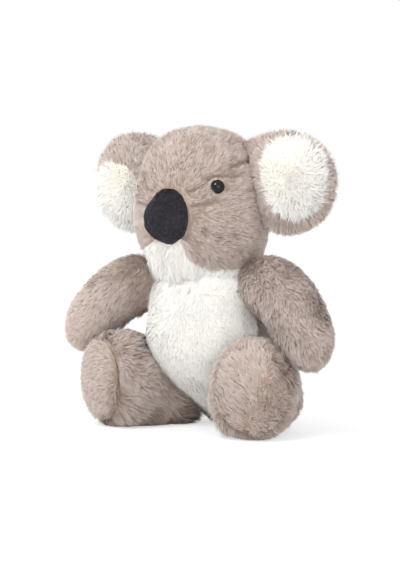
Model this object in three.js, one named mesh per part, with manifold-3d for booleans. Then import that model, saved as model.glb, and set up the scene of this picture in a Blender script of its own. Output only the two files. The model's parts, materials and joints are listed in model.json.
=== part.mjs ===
// A seated plush koala: stuffed head, body, arms and legs in sewn plush skins, with safety eyes,
// a padded nose, lined ears and a weighted seat. Millimetres, +Z up, the face looks along -Y,
// and the koala's left side is +X.
import * as THREE from "three";
import { mergeVertices } from "three/addons/utils/BufferGeometryUtils.js";
import Module from "manifold-3d";

// Driving dimensions
const bodyHeight = 132;
const bodyHalfWidth = 58.5;
const bodyHalfDepth = 54;
const seatSetBack = 48;
const headHeight = 126;
const headHalfWidth = 60;
const headHalfDepth = 48;
const headBackHalfDepth = 53;
const snoutRise = 4;
const snoutHalfWidth = 24;
const snoutHalfHeight = 24;
const neckSetBack = 8;
const headTurn = 20;

// Fabric and sewing
const skin = 4;
const seamGap = 0.3;
const floorBite = 0.5;
const overrun = 20;

// Shape of the body: [share of its height, share of its half width, share of its half depth,
// share of the seat's set-back]
const bodyShares = [
  [0.0, 0.29, 0.2, 1.0],
  [0.083, 0.47, 0.385, 0.94],
  [0.136, 0.59, 0.53, 0.875],
  [0.205, 0.72, 0.68, 0.79],
  [0.28, 0.835, 0.81, 0.69],
  [0.394, 0.935, 0.93, 0.53],
  [0.508, 0.995, 0.995, 0.42],
  [0.606, 0.99, 0.99, 0.365],
  [0.72, 0.935, 0.935, 0.32],
  [0.85, 0.84, 0.84, 0.26],
  [0.94, 0.77, 0.77, 0.2],
  [1.0, 0.7, 0.7, 0.17],
];

// Shape of the head: [share of its height above the neck, share of its half width, share of its
// half depth, share of the neck's set-back]
const headShares = [
  [0.0, 0.69, 0.79, 1.0],
  [0.06, 0.79, 0.87, 0.75],
  [0.13, 0.87, 0.92, 0.5],
  [0.19, 0.93, 0.95, 0.3],
  [0.26, 0.98, 0.98, 0.15],
  [0.36, 1.0, 1.0, 0.0],
  [0.53, 0.985, 0.99, 0.0],
  [0.64, 0.94, 0.95, 0.0],
  [0.746, 0.87, 0.885, 0.0],
  [0.833, 0.775, 0.79, 0.0],
  [0.91, 0.62, 0.64, 0.0],
  [0.965, 0.41, 0.43, 0.0],
  [0.995, 0.14, 0.15, 0.0],
];

// White panels
const bellyHalfAngle = 62;
const bellyMiddleShare = 0.6;
const muzzleHeight = 36;
const muzzleHalfWidth = 46;
const muzzleShares = [
  [0.0, 1.0],
  [0.1, 0.86],
  [0.28, 0.62],
  [0.55, 0.47],
  [0.8, 0.38],
  [1.0, 0.0],
];

// Nose: [share of its height, share of its half width]
const noseHalfWidth = 21;
const noseHeight = 46;
const noseRise = 50;
const noseBulge = 8;
const noseSink = 5;
const noseShares = [
  [0.0, 0.14],
  [0.05, 0.32],
  [0.1, 0.46],
  [0.23, 0.78],
  [0.395, 0.99],
  [0.535, 0.97],
  [0.72, 0.78],
  [0.865, 0.61],
  [0.965, 0.4],
  [1.0, 0.14],
];

// Safety eyes
const eyeRadius = 6;
const eyeDome = 4.5;
const eyeSink = 0.8;
const eyeRise = 75;
const eyeAngle = 45;
const stemRadius = 1.8;
const stemLength = 13;
const washerRadius = 8;
const washerThickness = 1.5;

// Ears
const earHalfWidth = 42;
const earHalfHeight = 44;
const earHalfThickness = 10;
const earReach = 80;
const earRise = 79;
const earSetBack = 13;
const earTurn = 6;
const earFold = 12;
const liningHalfWidth = 33;
const liningHalfHeight = 36;
const liningHalfThickness = 8;
const liningRise = 5;
const liningOut = 7;
const earRootReach = 57;
const earRootLean = 14;

// Arms
const shoulderReach = 38;
const shoulderDrop = 20;
const shoulderSetBack = 8;
const armReach = 96;
const armDrop = 50;
const armForward = 18;
const armBendReach = 42;
const armBendRise = 31;
const armBendForward = 10;
const armHalfWidth = 24;
const armHalfHeight = 25;
const armCapShare = 0.22;
const armPivotReach = 46;
const armSwing = 30;
const armSwingSpare = 10;

// Legs
const legRootShare = 0.3;
const footReach = 78;
const footForward = 37;
const footHalfWidth = 34;
const footHalfHeight = 42;
const legLength = 92;
const legSplay = 25;
const soleBulge = 13;
const hipPivotShare = 0.66;
const legSwing = 10;

// Thickness of the limbs: [share of the length, share of the half width, share of the half height]
const armShares = [
  [0.0, 0.86, 0.88],
  [0.25, 1.0, 1.03],
  [0.5, 0.99, 1.0],
  [0.75, 0.97, 0.96],
  [1.0, 0.95, 0.95],
];
const legShares = [
  [0.0, 0.84, 0.86],
  [0.3, 0.95, 0.96],
  [0.55, 1.0, 1.0],
  [0.8, 1.01, 1.0],
  [0.93, 0.96, 0.96],
  [1.0, 0.85, 0.86],
];
const legWidestShare = 0.7;

// Seat weight: the bag lies in the lowest part of the body's filling
const bagTop = 24;

// Fineness of the forms
const bodySides = 20;
const bodyRings = 13;
const bodyRingCrowding = 1.4;
const headSides = 22;
const headRings = 14;
const headRingCrowding = 1.1;
const limbSides = 16;
const limbRings = 6;
const capRings = 4;
const soleRings = 5;
const noseRings = 11;
const noseSides = 14;
const ballSides = 16;
const ballRings = 10;
const earSides = 20;
const earRings = 12;
const eyeSides = 16;
const domeSteps = 5;
const fanSteps = 8;
const roomRings = 5;
const roomShare = 0.25;
const sweepAngle = 9;

const wasm = await Module();
wasm.setup();

const degrees = THREE.MathUtils.degToRad;
const vec = (x, y, z) => new THREE.Vector3(x, y, z);

// A closed solid from a three.js geometry.
function solidOf(geometry) {
  const bare = geometry.clone();
  bare.deleteAttribute("normal");
  bare.deleteAttribute("uv");
  const merged = mergeVertices(bare, 1e-4);
  const made = new wasm.Manifold(
    new wasm.Mesh({
      numProp: 3,
      vertProperties: new Float32Array(merged.attributes.position.array),
      triVerts: new Uint32Array(merged.index.array),
    }),
  );
  return made;
}

// The three.js geometry of a solid.
function geometryOf(solid) {
  const mesh = solid.getMesh();
  const geometry = new THREE.BufferGeometry();
  geometry.setAttribute("position", new THREE.BufferAttribute(mesh.vertProperties, 3));
  geometry.setIndex(new THREE.BufferAttribute(mesh.triVerts, 1));
  geometry.computeVertexNormals();
  return geometry;
}

// The value of a table of shares at a share of its first column, on a smooth curve.
function tableAt(table, share, column) {
  const last = table.length - 1;
  let i = 0;
  while (i < last - 1 && share > table[i + 1][0]) i += 1;
  const [a, b] = [table[i], table[i + 1]];
  const before = table[Math.max(i - 1, 0)];
  const after = table[Math.min(i + 2, last)];
  const width = b[0] - a[0];
  const t = THREE.MathUtils.clamp((share - a[0]) / width, 0, 1);
  const slopeA = ((b[column] - before[column]) / (b[0] - before[0])) * width;
  const slopeB = ((after[column] - a[column]) / (after[0] - a[0])) * width;
  const t2 = t * t;
  const t3 = t2 * t;
  return (
    (2 * t3 - 3 * t2 + 1) * a[column] +
    (t3 - 2 * t2 + t) * slopeA +
    (3 * t2 - 2 * t3) * b[column] +
    (t3 - t2) * slopeB
  );
}

// A closed skin over rings of points, all with the same count. Each end closes on one point.
function loft(rings, startPoint, endPoint) {
  const sides = rings[0].length;
  const positions = [];
  for (const ring of rings) {
    for (const p of ring) positions.push(p.x, p.y, p.z);
  }
  positions.push(startPoint.x, startPoint.y, startPoint.z);
  positions.push(endPoint.x, endPoint.y, endPoint.z);
  const start = rings.length * sides;
  const end = start + 1;
  const faces = [];
  for (let r = 0; r < rings.length - 1; r += 1) {
    for (let i = 0; i < sides; i += 1) {
      const j = (i + 1) % sides;
      const a = r * sides + i;
      const b = r * sides + j;
      const c = a + sides;
      const d = b + sides;
      faces.push(a, b, d, a, d, c);
    }
  }
  const top = (rings.length - 1) * sides;
  for (let i = 0; i < sides; i += 1) {
    const j = (i + 1) % sides;
    faces.push(start, j, i, end, top + i, top + j);
  }
  const geometry = new THREE.BufferGeometry();
  geometry.setAttribute("position", new THREE.Float32BufferAttribute(positions, 3));
  geometry.setIndex(faces);
  geometry.computeVertexNormals();
  return geometry;
}

// The solid inside a form whose surface is moved out along its normals by an offset.
function formAt(geometry, offset) {
  const grown = geometry.clone();
  const places = grown.attributes.position;
  const normals = grown.attributes.normal;
  for (let i = 0; i < places.count; i += 1) {
    places.setXYZ(
      i,
      places.getX(i) + offset * normals.getX(i),
      places.getY(i) + offset * normals.getY(i),
      places.getZ(i) + offset * normals.getZ(i),
    );
  }
  return solidOf(grown);
}

// One ring of an ellipse about a centre, in the plane of two unit vectors.
function ellipse(centre, across, up, halfWidth, halfHeight, sides) {
  return Array.from({ length: sides }, (_, i) => {
    const turn = (2 * Math.PI * i) / sides;
    return centre
      .clone()
      .addScaledVector(across, halfWidth * Math.cos(turn))
      .addScaledVector(up, halfHeight * Math.sin(turn));
  });
}

const xAxis = vec(1, 0, 0);
const yAxis = vec(0, 1, 0);
const zAxis = vec(0, 0, 1);

// A block that is larger than the koala and fills all below a height.
function blockBelow(height) {
  const size = 2 * (bodyHeight + headHeight + armReach);
  const block = new THREE.BoxGeometry(size, size, size);
  block.translate(0, 0, height - size / 2);
  return solidOf(block);
}

// A solid carried by a matrix. A mirroring matrix turns each face round again.
function moved(solid, matrix) {
  const mesh = solid.getMesh();
  const places = new THREE.BufferAttribute(mesh.vertProperties, 3).applyMatrix4(matrix);
  const faces = mesh.triVerts.slice();
  if (matrix.determinant() < 0) faces.reverse();
  return new wasm.Manifold(
    new wasm.Mesh({ numProp: 3, vertProperties: places.array, triVerts: faces }),
  );
}

// A solid turned by degrees about an axis through a point.
function turned(solid, pivot, axis, angle) {
  const matrix = new THREE.Matrix4()
    .makeTranslation(pivot.x, pivot.y, pivot.z)
    .multiply(new THREE.Matrix4().makeRotationAxis(axis, degrees(angle)))
    .multiply(new THREE.Matrix4().makeTranslation(-pivot.x, -pivot.y, -pivot.z));
  return moved(solid, matrix);
}

// The same solid on the koala's other side.
function mirrored(solid) {
  return moved(solid, new THREE.Matrix4().makeScale(-1, 1, 1));
}

// What is left of a moving solid after its neighbour has passed over it, for every angle of the
// joint between them.
function clearedOf(solid, neighbour, pivot, axis, from, to) {
  let left = solid;
  const steps = Math.ceil((to - from) / sweepAngle);
  for (let step = 0; step <= steps; step += 1) {
    const angle = from + ((to - from) * step) / steps;
    left = left.subtract(turned(neighbour, pivot, axis, -angle));
  }
  return left.subtract(neighbour);
}

// The largest body of a cut solid.
function mainBody(solid) {
  const bodies = solid.decompose();
  return bodies.reduce((best, body) => (body.volume() > best.volume() ? body : best));
}

// How far back the middle of the body lies at a share of its height
const bodyMiddle = (share) => seatSetBack * tableAt(bodyShares, share, 3);

// Body form
function bodyLoft() {
  const loops = [];
  for (let r = 0; r < bodyRings; r += 1) {
    const share = Math.sin((Math.PI / 2) * (r / (bodyRings - 1))) ** bodyRingCrowding;
    const wide = bodyHalfWidth * tableAt(bodyShares, share, 1);
    const deep = bodyHalfDepth * tableAt(bodyShares, share, 2);
    const rise = -floorBite + (bodyHeight - seamGap / 2 + floorBite) * share;
    loops.push(ellipse(vec(0, bodyMiddle(share), rise), xAxis, yAxis, wide, deep, bodySides));
  }
  return loft(
    loops,
    vec(0, bodyMiddle(0), loops[0][0].z),
    vec(0, bodyMiddle(1), loops[bodyRings - 1][0].z),
  );
}

// The forward swell of the snout at a place on the face.
function snoutAt(x, z) {
  const across = (x / snoutHalfWidth) ** 2;
  const along = ((z - bodyHeight - noseRise + snoutHalfHeight / 2) / snoutHalfHeight) ** 2;
  return snoutRise * Math.exp(-across - along);
}

// A point of the head's surface at a share of its height and an angle from the face's middle.
function headPoint(share, angle) {
  const x = headHalfWidth * tableAt(headShares, share, 1) * Math.sin(angle);
  const z = bodyHeight + seamGap / 2 + (headHeight - seamGap / 2) * share;
  const middle = neckSetBack * tableAt(headShares, share, 3);
  const front = Math.cos(angle) > 0;
  const deep = (front ? headHalfDepth : headBackHalfDepth) * tableAt(headShares, share, 2);
  return vec(x, middle - deep * Math.cos(angle) - (front ? snoutAt(x, z) : 0), z);
}

// Head form
function headLoft() {
  const loops = [];
  const topShare = headShares[headShares.length - 1][0];
  for (let r = 0; r < headRings; r += 1) {
    const turn = (Math.PI / 2) * (r / (headRings - 1)) ** headRingCrowding;
    const share = topShare * Math.sin(turn);
    loops.push(
      Array.from({ length: headSides }, (_, i) => headPoint(share, (2 * Math.PI * i) / headSides)),
    );
  }
  return loft(loops, vec(0, neckSetBack, loops[0][0].z), vec(0, 0, bodyHeight + headHeight));
}

// The room that the lower head sweeps over when it turns on the neck
function headRoom() {
  const profile = [new THREE.Vector2(0, bodyHeight)];
  for (let r = 0; r <= roomRings; r += 1) {
    const share = (roomShare * r) / roomRings;
    let reach = 0;
    for (let i = 0; i < headSides; i += 1) {
      const place = headPoint(share, (2 * Math.PI * i) / headSides);
      reach = Math.max(reach, Math.hypot(place.x, place.y - neckSetBack));
    }
    profile.push(new THREE.Vector2(reach + seamGap, bodyHeight + headHeight * share));
  }
  profile.push(new THREE.Vector2(0, bodyHeight + headHeight * roomShare));
  const room = new THREE.LatheGeometry(profile, 2 * headSides);
  room.rotateX(Math.PI / 2);
  room.translate(0, neckSetBack, 0);
  return solidOf(room);
}

const floor = blockBelow(0);

// Turning a mirrored side: 1 is the koala's left, -1 its right.
const sidesOf = [
  ["left", 1],
  ["right", -1],
];

const neckPivot = vec(0, neckSetBack, bodyHeight);

// Body: taupe back, white belly, stuffing and the seat weight
const bodyShape = bodyLoft();
const bodyGrown = formAt(bodyShape, seamGap);
const bodySkin = formAt(bodyShape, 0).subtract(formAt(bodyShape, -skin)).subtract(floor);

// A fan about the body's middle that opens to the front by an angle to each side.
function frontFan(angle, inset) {
  const radius = bodyHalfWidth + seatSetBack + overrun;
  const depth = bodyMiddle(bellyMiddleShare);
  const outline = new THREE.Shape();
  outline.moveTo(0, depth - inset);
  for (let i = 0; i <= fanSteps; i += 1) {
    const turn = degrees(-angle + (2 * angle * i) / fanSteps);
    outline.lineTo(radius * Math.sin(turn), depth - inset - radius * Math.cos(turn));
  }
  const fan = new THREE.ExtrudeGeometry(outline, {
    depth: bodyHeight + 2 * overrun,
    bevelEnabled: false,
  });
  fan.translate(0, 0, -overrun);
  return solidOf(fan);
}
const bellyPanel = mainBody(bodySkin.intersect(frontFan(bellyHalfAngle, seamGap)));
const bodyBack = mainBody(bodySkin.subtract(frontFan(bellyHalfAngle, 0)));

// A ball drawn out to three half sizes about a centre.
function ovalBall(centre, halfX, halfY, halfZ, sides = ballSides, rings = ballRings) {
  const ball = new THREE.SphereGeometry(1, sides, rings);
  ball.scale(halfX, halfY, halfZ);
  ball.translate(centre.x, centre.y, centre.z);
  return solidOf(ball);
}

const bodyFilling = formAt(bodyShape, -skin - seamGap);
const pelletBag = mainBody(bodyFilling.intersect(blockBelow(bagTop)));
const bodyStuffing = mainBody(bodyFilling.subtract(blockBelow(bagTop + seamGap)));

// Head: taupe skin, white muzzle, stuffing
const headShape = headLoft();
const headGrown = formAt(headShape, seamGap);

// A tent-shaped prism through the face, as wide as the muzzle panel less an inset.
function muzzlePrism(inset) {
  const outline = new THREE.Shape();
  const widthAt = (row) => Math.max(muzzleHalfWidth * muzzleShares[row][1] - inset, 0);
  const heightAt = (row) => bodyHeight + (muzzleHeight - inset) * muzzleShares[row][0];
  outline.moveTo(0, bodyHeight - overrun);
  outline.lineTo(widthAt(0), bodyHeight - overrun);
  for (let row = 0; row < muzzleShares.length; row += 1) {
    outline.lineTo(widthAt(row), heightAt(row));
  }
  for (let row = muzzleShares.length - 2; row >= 0; row -= 1) {
    outline.lineTo(-widthAt(row), heightAt(row));
  }
  outline.lineTo(-widthAt(0), bodyHeight - overrun);
  const prism = new THREE.ExtrudeGeometry(outline, {
    depth: headHalfDepth + overrun,
    bevelEnabled: false,
  });
  prism.rotateX(Math.PI / 2);
  return solidOf(prism);
}

// Nose pad, seated on the face
function noseLoft() {
  const loops = [];
  for (let r = 0; r < noseRings; r += 1) {
    const share = 0.5 - 0.5 * Math.cos((Math.PI * r) / (noseRings - 1));
    const half = noseHalfWidth * tableAt(noseShares, share, 1);
    const z = bodyHeight + noseRise + noseHeight * (share - 0.5);
    const face = headPoint((z - bodyHeight) / headHeight, 0);
    const deep = (noseBulge + noseSink) * Math.sqrt(tableAt(noseShares, share, 1));
    loops.push(ellipse(vec(0, face.y + noseSink, z), xAxis, yAxis, half, deep, noseSides));
  }
  const low = loops[0].reduce((sum, p) => sum.add(p), vec(0, 0, 0)).divideScalar(noseSides);
  const top = loops[noseRings - 1];
  const high = top.reduce((sum, p) => sum.add(p), vec(0, 0, 0)).divideScalar(noseSides);
  return loft(loops, low, high);
}
const nosePad = mainBody(formAt(noseLoft(), 0).subtract(headGrown));

// The way straight out of the head's surface.
function headNormal(share, angle) {
  const step = 0.01;
  const across = headPoint(share, angle + step).sub(headPoint(share, angle - step));
  const along = headPoint(share + step, angle).sub(headPoint(share - step, angle));
  return across.cross(along).normalize();
}

// A turned piece whose profile runs outward from the head's surface at the left eye.
const eyeShare = eyeRise / headHeight;
const eyePlace = headPoint(eyeShare, degrees(eyeAngle));
const eyeWay = headNormal(eyeShare, degrees(eyeAngle));
function eyePiece(profile) {
  const points = profile.map(([r, h]) => new THREE.Vector2(r, h));
  const piece = new THREE.LatheGeometry(points, eyeSides);
  piece.applyQuaternion(new THREE.Quaternion().setFromUnitVectors(yAxis, eyeWay));
  piece.translate(eyePlace.x, eyePlace.y, eyePlace.z);
  return solidOf(piece);
}

// Safety eye: a dome on a stem that passes through the skin
function eyeProfile(grow) {
  const profile = [
    [0, -stemLength - grow],
    [stemRadius + grow, -stemLength - grow],
    [stemRadius + grow, -eyeSink - grow],
    [eyeRadius + grow, -eyeSink - grow],
  ];
  for (let i = 0; i <= domeSteps; i += 1) {
    const turn = (Math.PI / 2) * (i / domeSteps);
    const r = i === domeSteps ? 0 : (eyeRadius + grow) * Math.cos(turn);
    profile.push([r, (eyeDome + grow) * Math.sin(turn)]);
  }
  return profile;
}
const eyeLeft = eyePiece(eyeProfile(0));
const eyeRoom = eyePiece(eyeProfile(seamGap));
function washerProfile(bore, grow) {
  const low = -skin - 2 * seamGap - washerThickness - grow;
  const high = -skin - 2 * seamGap + grow;
  return [
    [bore, low],
    [washerRadius + grow, low],
    [washerRadius + grow, high],
    [bore, high],
    [bore, low],
  ];
}
const washerLeft = eyePiece(washerProfile(stemRadius + seamGap, 0));
const washerRoom = eyePiece(washerProfile(stemRadius / 2, seamGap)).add(eyeRoom);

const headSkinWhole = formAt(headShape, 0)
  .subtract(formAt(headShape, -skin))
  .subtract(washerRoom)
  .subtract(mirrored(washerRoom));
const muzzlePanel = mainBody(headSkinWhole.intersect(muzzlePrism(seamGap)));
const headSkin = mainBody(headSkinWhole.subtract(muzzlePrism(0)));
const headStuffing = mainBody(
  formAt(headShape, -skin - seamGap).subtract(washerRoom).subtract(mirrored(washerRoom)),
);

// Left ear: a taupe back that is dished for a white lining
const earPlace = vec(earReach, earSetBack, bodyHeight + earRise);
function earLean(solid) {
  const turn = new THREE.Matrix4().makeRotationZ(degrees(earTurn));
  const place = new THREE.Matrix4().makeTranslation(earPlace.x, earPlace.y, earPlace.z);
  return moved(solid, place.multiply(turn));
}
const earAxis = vec(Math.sin(degrees(earRootLean)), 0, -Math.cos(degrees(earRootLean)));
const earPivot = vec(earRootReach, earSetBack, earPlace.z);
function liningForm(grow) {
  return earLean(
    ovalBall(
      vec(0, -liningOut, liningRise),
      liningHalfWidth + grow,
      liningHalfThickness + grow,
      liningHalfHeight + grow,
    ),
  );
}
const earWhole = earLean(
  ovalBall(vec(0, 0, 0), earHalfWidth, earHalfThickness, earHalfHeight, earSides, earRings),
);
const clearOfHead = (solid) => mainBody(
  clearedOf(solid, headGrown, earPivot, earAxis, -earFold, earFold),
);
const earBackLeft = clearOfHead(earWhole.subtract(liningForm(seamGap)));
const earLiningLeft = clearOfHead(liningForm(0));

// The rings of a limb: [share of its length, how far the rounding of an end closes it]
function limbStations(rootCap, tipCap) {
  const stations = [];
  for (let r = capRings; r >= 1 && rootCap > 0; r -= 1) {
    const turn = ((Math.PI / 2) * r) / (capRings + 1);
    stations.push([rootCap * (1 - Math.sin(turn)), Math.cos(turn)]);
  }
  for (let r = 0; r < limbRings; r += 1) {
    stations.push([rootCap + ((1 - rootCap - tipCap) * r) / (limbRings - 1), 1]);
  }
  for (let r = 1; r <= capRings && tipCap > 0; r += 1) {
    const turn = ((Math.PI / 2) * r) / (capRings + 1);
    stations.push([1 - tipCap + tipCap * Math.sin(turn), Math.cos(turn)]);
  }
  return stations;
}

// A limb along a line of places, with its thickness from a table of shares. The given shares of
// its length close it round at the root and at the tip.
function limbLoft(line, shares, halfWidth, halfHeight, across, rootCap, tipCap) {
  const loops = limbStations(rootCap, tipCap).map(([share, closing]) => {
    const ahead = line.getTangent(share);
    const wide = across.clone().addScaledVector(ahead, -across.dot(ahead)).normalize();
    const high = ahead.clone().cross(wide);
    const w = halfWidth * tableAt(shares, share, 1) * closing;
    const h = halfHeight * tableAt(shares, share, 2) * closing;
    return ellipse(line.getPoint(share), wide, high, w, h, limbSides);
  });
  return loft(loops, line.getPoint(0), line.getPoint(1));
}

// Left arm
const shoulderRise = bodyHeight - shoulderDrop;
const shoulder = vec(shoulderReach, shoulderSetBack, shoulderRise);
const armLine = new THREE.QuadraticBezierCurve3(
  shoulder,
  vec(
    shoulderReach + armBendReach,
    shoulderSetBack - armBendForward,
    shoulderRise + armBendRise,
  ),
  vec(shoulderReach + armReach, shoulderSetBack - armForward, shoulderRise - armDrop),
);
const armPivot = vec(armPivotReach, shoulderSetBack, shoulderRise);
const armAxis = vec(-1, 0, 0);
const armShape = limbLoft(armLine, armShares, armHalfWidth, armHalfHeight, yAxis, 0, armCapShare);
const trunk = bodyGrown.add(headRoom());
const clearOfBodyArm = (solid) => mainBody(
  clearedOf(solid, trunk, armPivot, armAxis, -armSwingSpare, armSwing + armSwingSpare),
);
const armOuter = clearOfBodyArm(formAt(armShape, 0));
const armSkinLeft = mainBody(armOuter.subtract(formAt(armShape, -skin)));
const armStuffingLeft = mainBody(formAt(armShape, -skin - seamGap).intersect(armOuter));

// Left leg, lying on the floor, and its foot sole
const legWay = vec(Math.sin(degrees(legSplay)), -Math.cos(degrees(legSplay)), 0);
const soleShares = legShares[legShares.length - 1];
const soleMiddle = vec(footReach, -footForward, footHalfHeight - floorBite);

// The middle of the leg: straight seen from above, and as high as the leg is thick.
class LegLine extends THREE.Curve {
  getPoint(share) {
    const place = soleMiddle.clone().addScaledVector(legWay, -legLength * (1 - share));
    place.z = footHalfHeight * tableAt(legShares, Math.min(share, legWidestShare), 2) - floorBite;
    return place;
  }

  getTangent() {
    return legWay.clone();
  }
}
const hipPivot = soleMiddle.clone().addScaledVector(legWay, -legLength * hipPivotShare);
const hipAxis = zAxis;
const legShape = limbLoft(
  new LegLine(),
  legShares,
  footHalfWidth,
  footHalfHeight,
  xAxis,
  legRootShare,
  0,
);
const clearOfBodyLeg = (solid) => mainBody(
  clearedOf(solid, bodyGrown, hipPivot, hipAxis, -legSwing, 0),
);
const legOuter = clearOfBodyLeg(formAt(legShape, 0)).subtract(floor);
const legSkinLeft = mainBody(legOuter.subtract(formAt(legShape, -skin)));
const legStuffingLeft = mainBody(formAt(legShape, -skin - seamGap).intersect(legOuter));
const soleLoops = [];
const soleAcross = vec(legWay.y, -legWay.x, 0).negate();
for (let r = 0; r < soleRings; r += 1) {
  const turn = degrees((90 * r) / soleRings);
  const centre = soleMiddle.clone().addScaledVector(legWay, seamGap + soleBulge * Math.sin(turn));
  soleLoops.push(
    ellipse(
      centre,
      soleAcross,
      zAxis,
      footHalfWidth * soleShares[1] * Math.cos(turn),
      footHalfHeight * soleShares[2] * Math.cos(turn),
      limbSides,
    ),
  );
}
const soleShape = loft(
  soleLoops,
  soleMiddle.clone().addScaledVector(legWay, seamGap),
  soleMiddle.clone().addScaledVector(legWay, seamGap + soleBulge),
);
const footSoleLeft = mainBody(formAt(soleShape, 0).subtract(floor));

// Finishes
const finish = (color, roughness) => new THREE.MeshStandardMaterial({ color, roughness, metalness: 0 });
const taupePlush = () => finish(0xb8a396, 0.95);
const whitePlush = () => finish(0xf1efe9, 0.95);
const blackVelour = () => finish(0x37353b, 0.8);
const blackPlastic = () => finish(0x1c1c20, 0.15);
const stuffingFibre = () => finish(0xf7f7f5, 1);
const nylon = () => finish(0xd9d6cf, 0.5);
const bagCloth = () => finish(0xe2ddd2, 0.9);

// The koala: one group for each body that moves, at the place that it turns about
const koala = new THREE.Group();

function bodyAt(pivot, parent) {
  const group = new THREE.Group();
  group.position.copy(pivot);
  if (parent !== koala) group.position.sub(parent.position);
  parent.add(group);
  group.userData.pivot = pivot.clone();
  return group;
}

function add(group, name, solid, material) {
  const geometry = geometryOf(solid);
  const pivot = group.userData.pivot;
  geometry.translate(-pivot.x, -pivot.y, -pivot.z);
  const mesh = new THREE.Mesh(geometry, material);
  mesh.name = name;
  group.add(mesh);
}

// How the bodies turn on each other, for whoever poses the koala
const joints = [];
function joint(name, parent, child, pivot, axis, range) {
  joints.push({ name, parent, child, pivot: pivot.toArray(), axis: axis.toArray(), range });
}

const torso = bodyAt(vec(0, 0, 0), koala);
add(torso, "body_back_skin", bodyBack, taupePlush());
add(torso, "belly_panel", bellyPanel, whitePlush());
add(torso, "body_stuffing", bodyStuffing, stuffingFibre());
add(torso, "pellet_bag", pelletBag, bagCloth());

const head = bodyAt(neckPivot, torso);
joint("head_turn", "torso", "head", neckPivot, zAxis, [-headTurn, headTurn]);
add(head, "head_skin", headSkin, taupePlush());
add(head, "muzzle_panel", muzzlePanel, whitePlush());
add(head, "head_stuffing", headStuffing, stuffingFibre());
add(head, "nose_pad", nosePad, blackVelour());

for (const [side, way] of sidesOf) {
  const own = (solid) => (way > 0 ? solid : mirrored(solid));
  const place = (pivot) => vec(way * pivot.x, pivot.y, pivot.z);
  const turning = (axis) => vec(axis.x, way * axis.y, way * axis.z);
  add(head, "eye_" + side, own(eyeLeft), blackPlastic());
  add(head, "eye_washer_" + side, own(washerLeft), nylon());

  const ear = new THREE.Group();
  ear.userData.pivot = place(earPivot);
  ear.position.copy(ear.userData.pivot).sub(neckPivot);
  head.add(ear);
  const foldRange = [-earFold, earFold];
  joint("ear_" + side + "_fold", "head", "ear_" + side, place(earPivot), turning(earAxis), foldRange);
  add(ear, "ear_back_" + side, own(earBackLeft), taupePlush());
  add(ear, "ear_lining_" + side, own(earLiningLeft), whitePlush());

  const arm = bodyAt(place(armPivot), torso);
  const armRange = [0, armSwing];
  joint("arm_" + side + "_swing", "torso", "arm_" + side, place(armPivot), turning(armAxis), armRange);
  add(arm, "arm_skin_" + side, own(armSkinLeft), taupePlush());
  add(arm, "arm_stuffing_" + side, own(armStuffingLeft), stuffingFibre());

  const leg = bodyAt(place(hipPivot), torso);
  const legRange = [-legSwing, 0];
  joint("leg_" + side + "_swing", "torso", "leg_" + side, place(hipPivot), turning(hipAxis), legRange);
  add(leg, "leg_skin_" + side, own(legSkinLeft), taupePlush());
  add(leg, "leg_stuffing_" + side, own(legStuffingLeft), stuffingFibre());
  add(leg, "foot_sole_" + side, own(footSoleLeft), taupePlush());
}

// The koala sits centred over its own footprint.
const footprint = new THREE.Box3().setFromObject(koala).getCenter(vec(0, 0, 0));
koala.position.set(-footprint.x, -footprint.y, 0);
koala.userData.joints = joints;

export default koala;
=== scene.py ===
"""A seated plush koala: sewn skins with a combed pile, lined ears, velour nose and safety eyes."""

import json
import logging
import math
from dataclasses import dataclass, field
from enum import Enum
from typing import Callable, Sequence

import bpy
import numpy as np
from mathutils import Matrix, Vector, kdtree


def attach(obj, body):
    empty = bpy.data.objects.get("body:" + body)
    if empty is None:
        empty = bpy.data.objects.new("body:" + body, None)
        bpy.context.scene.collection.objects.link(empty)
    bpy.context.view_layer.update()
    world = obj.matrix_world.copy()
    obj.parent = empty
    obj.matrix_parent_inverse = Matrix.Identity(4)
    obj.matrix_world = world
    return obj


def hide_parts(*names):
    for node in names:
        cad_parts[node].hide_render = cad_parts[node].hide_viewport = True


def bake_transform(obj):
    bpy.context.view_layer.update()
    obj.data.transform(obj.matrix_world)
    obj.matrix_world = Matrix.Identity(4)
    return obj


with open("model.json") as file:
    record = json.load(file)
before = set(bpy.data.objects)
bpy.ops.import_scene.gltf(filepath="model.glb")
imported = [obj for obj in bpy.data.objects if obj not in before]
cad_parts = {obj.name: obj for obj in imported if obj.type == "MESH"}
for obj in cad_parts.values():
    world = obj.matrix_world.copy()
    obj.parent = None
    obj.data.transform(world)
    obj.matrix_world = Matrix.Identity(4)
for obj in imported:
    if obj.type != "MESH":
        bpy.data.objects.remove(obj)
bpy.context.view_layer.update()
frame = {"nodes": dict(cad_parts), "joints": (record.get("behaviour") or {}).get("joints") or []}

log = logging.getLogger("koala")
Array = np.ndarray
Piece = bpy.types.Object
Socket = bpy.types.NodeSocket
Colour = tuple[float, float, float]
Place = tuple[float, float, float]
Comb = Callable[[Array], Array]
Amount = Callable[[Array], Array]

# Shapes are worked out in millimetres about the upright line through the head's middle
MM = 0.001
FLOOR_CLEARANCE = 0.35
CLOTH_THICKNESS = 0.7
SEED = 41

# How deep inside its neighbour a limb is cut off below its skin, and a strand may be rooted
SEAM_BITE = 1.5
ROOT_DEPTH = 0.5

# Across this map lies a strand's tint, and up it the place from root to tip
PELT_MAP = "OFBake"

# Sizes of the flat rings that close a stuffing's end, as shares of its outer ring
INNER_RINGS = (0.35, 0.7)

# The floor's own white, and the distances and shares over which it takes over from the shadow
FLOOR_GLOW = 1.12
FLOOR_FADE = (0.08, 0.34, 0.55, 1.0)
FLOOR_REACH = 6.0

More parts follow.
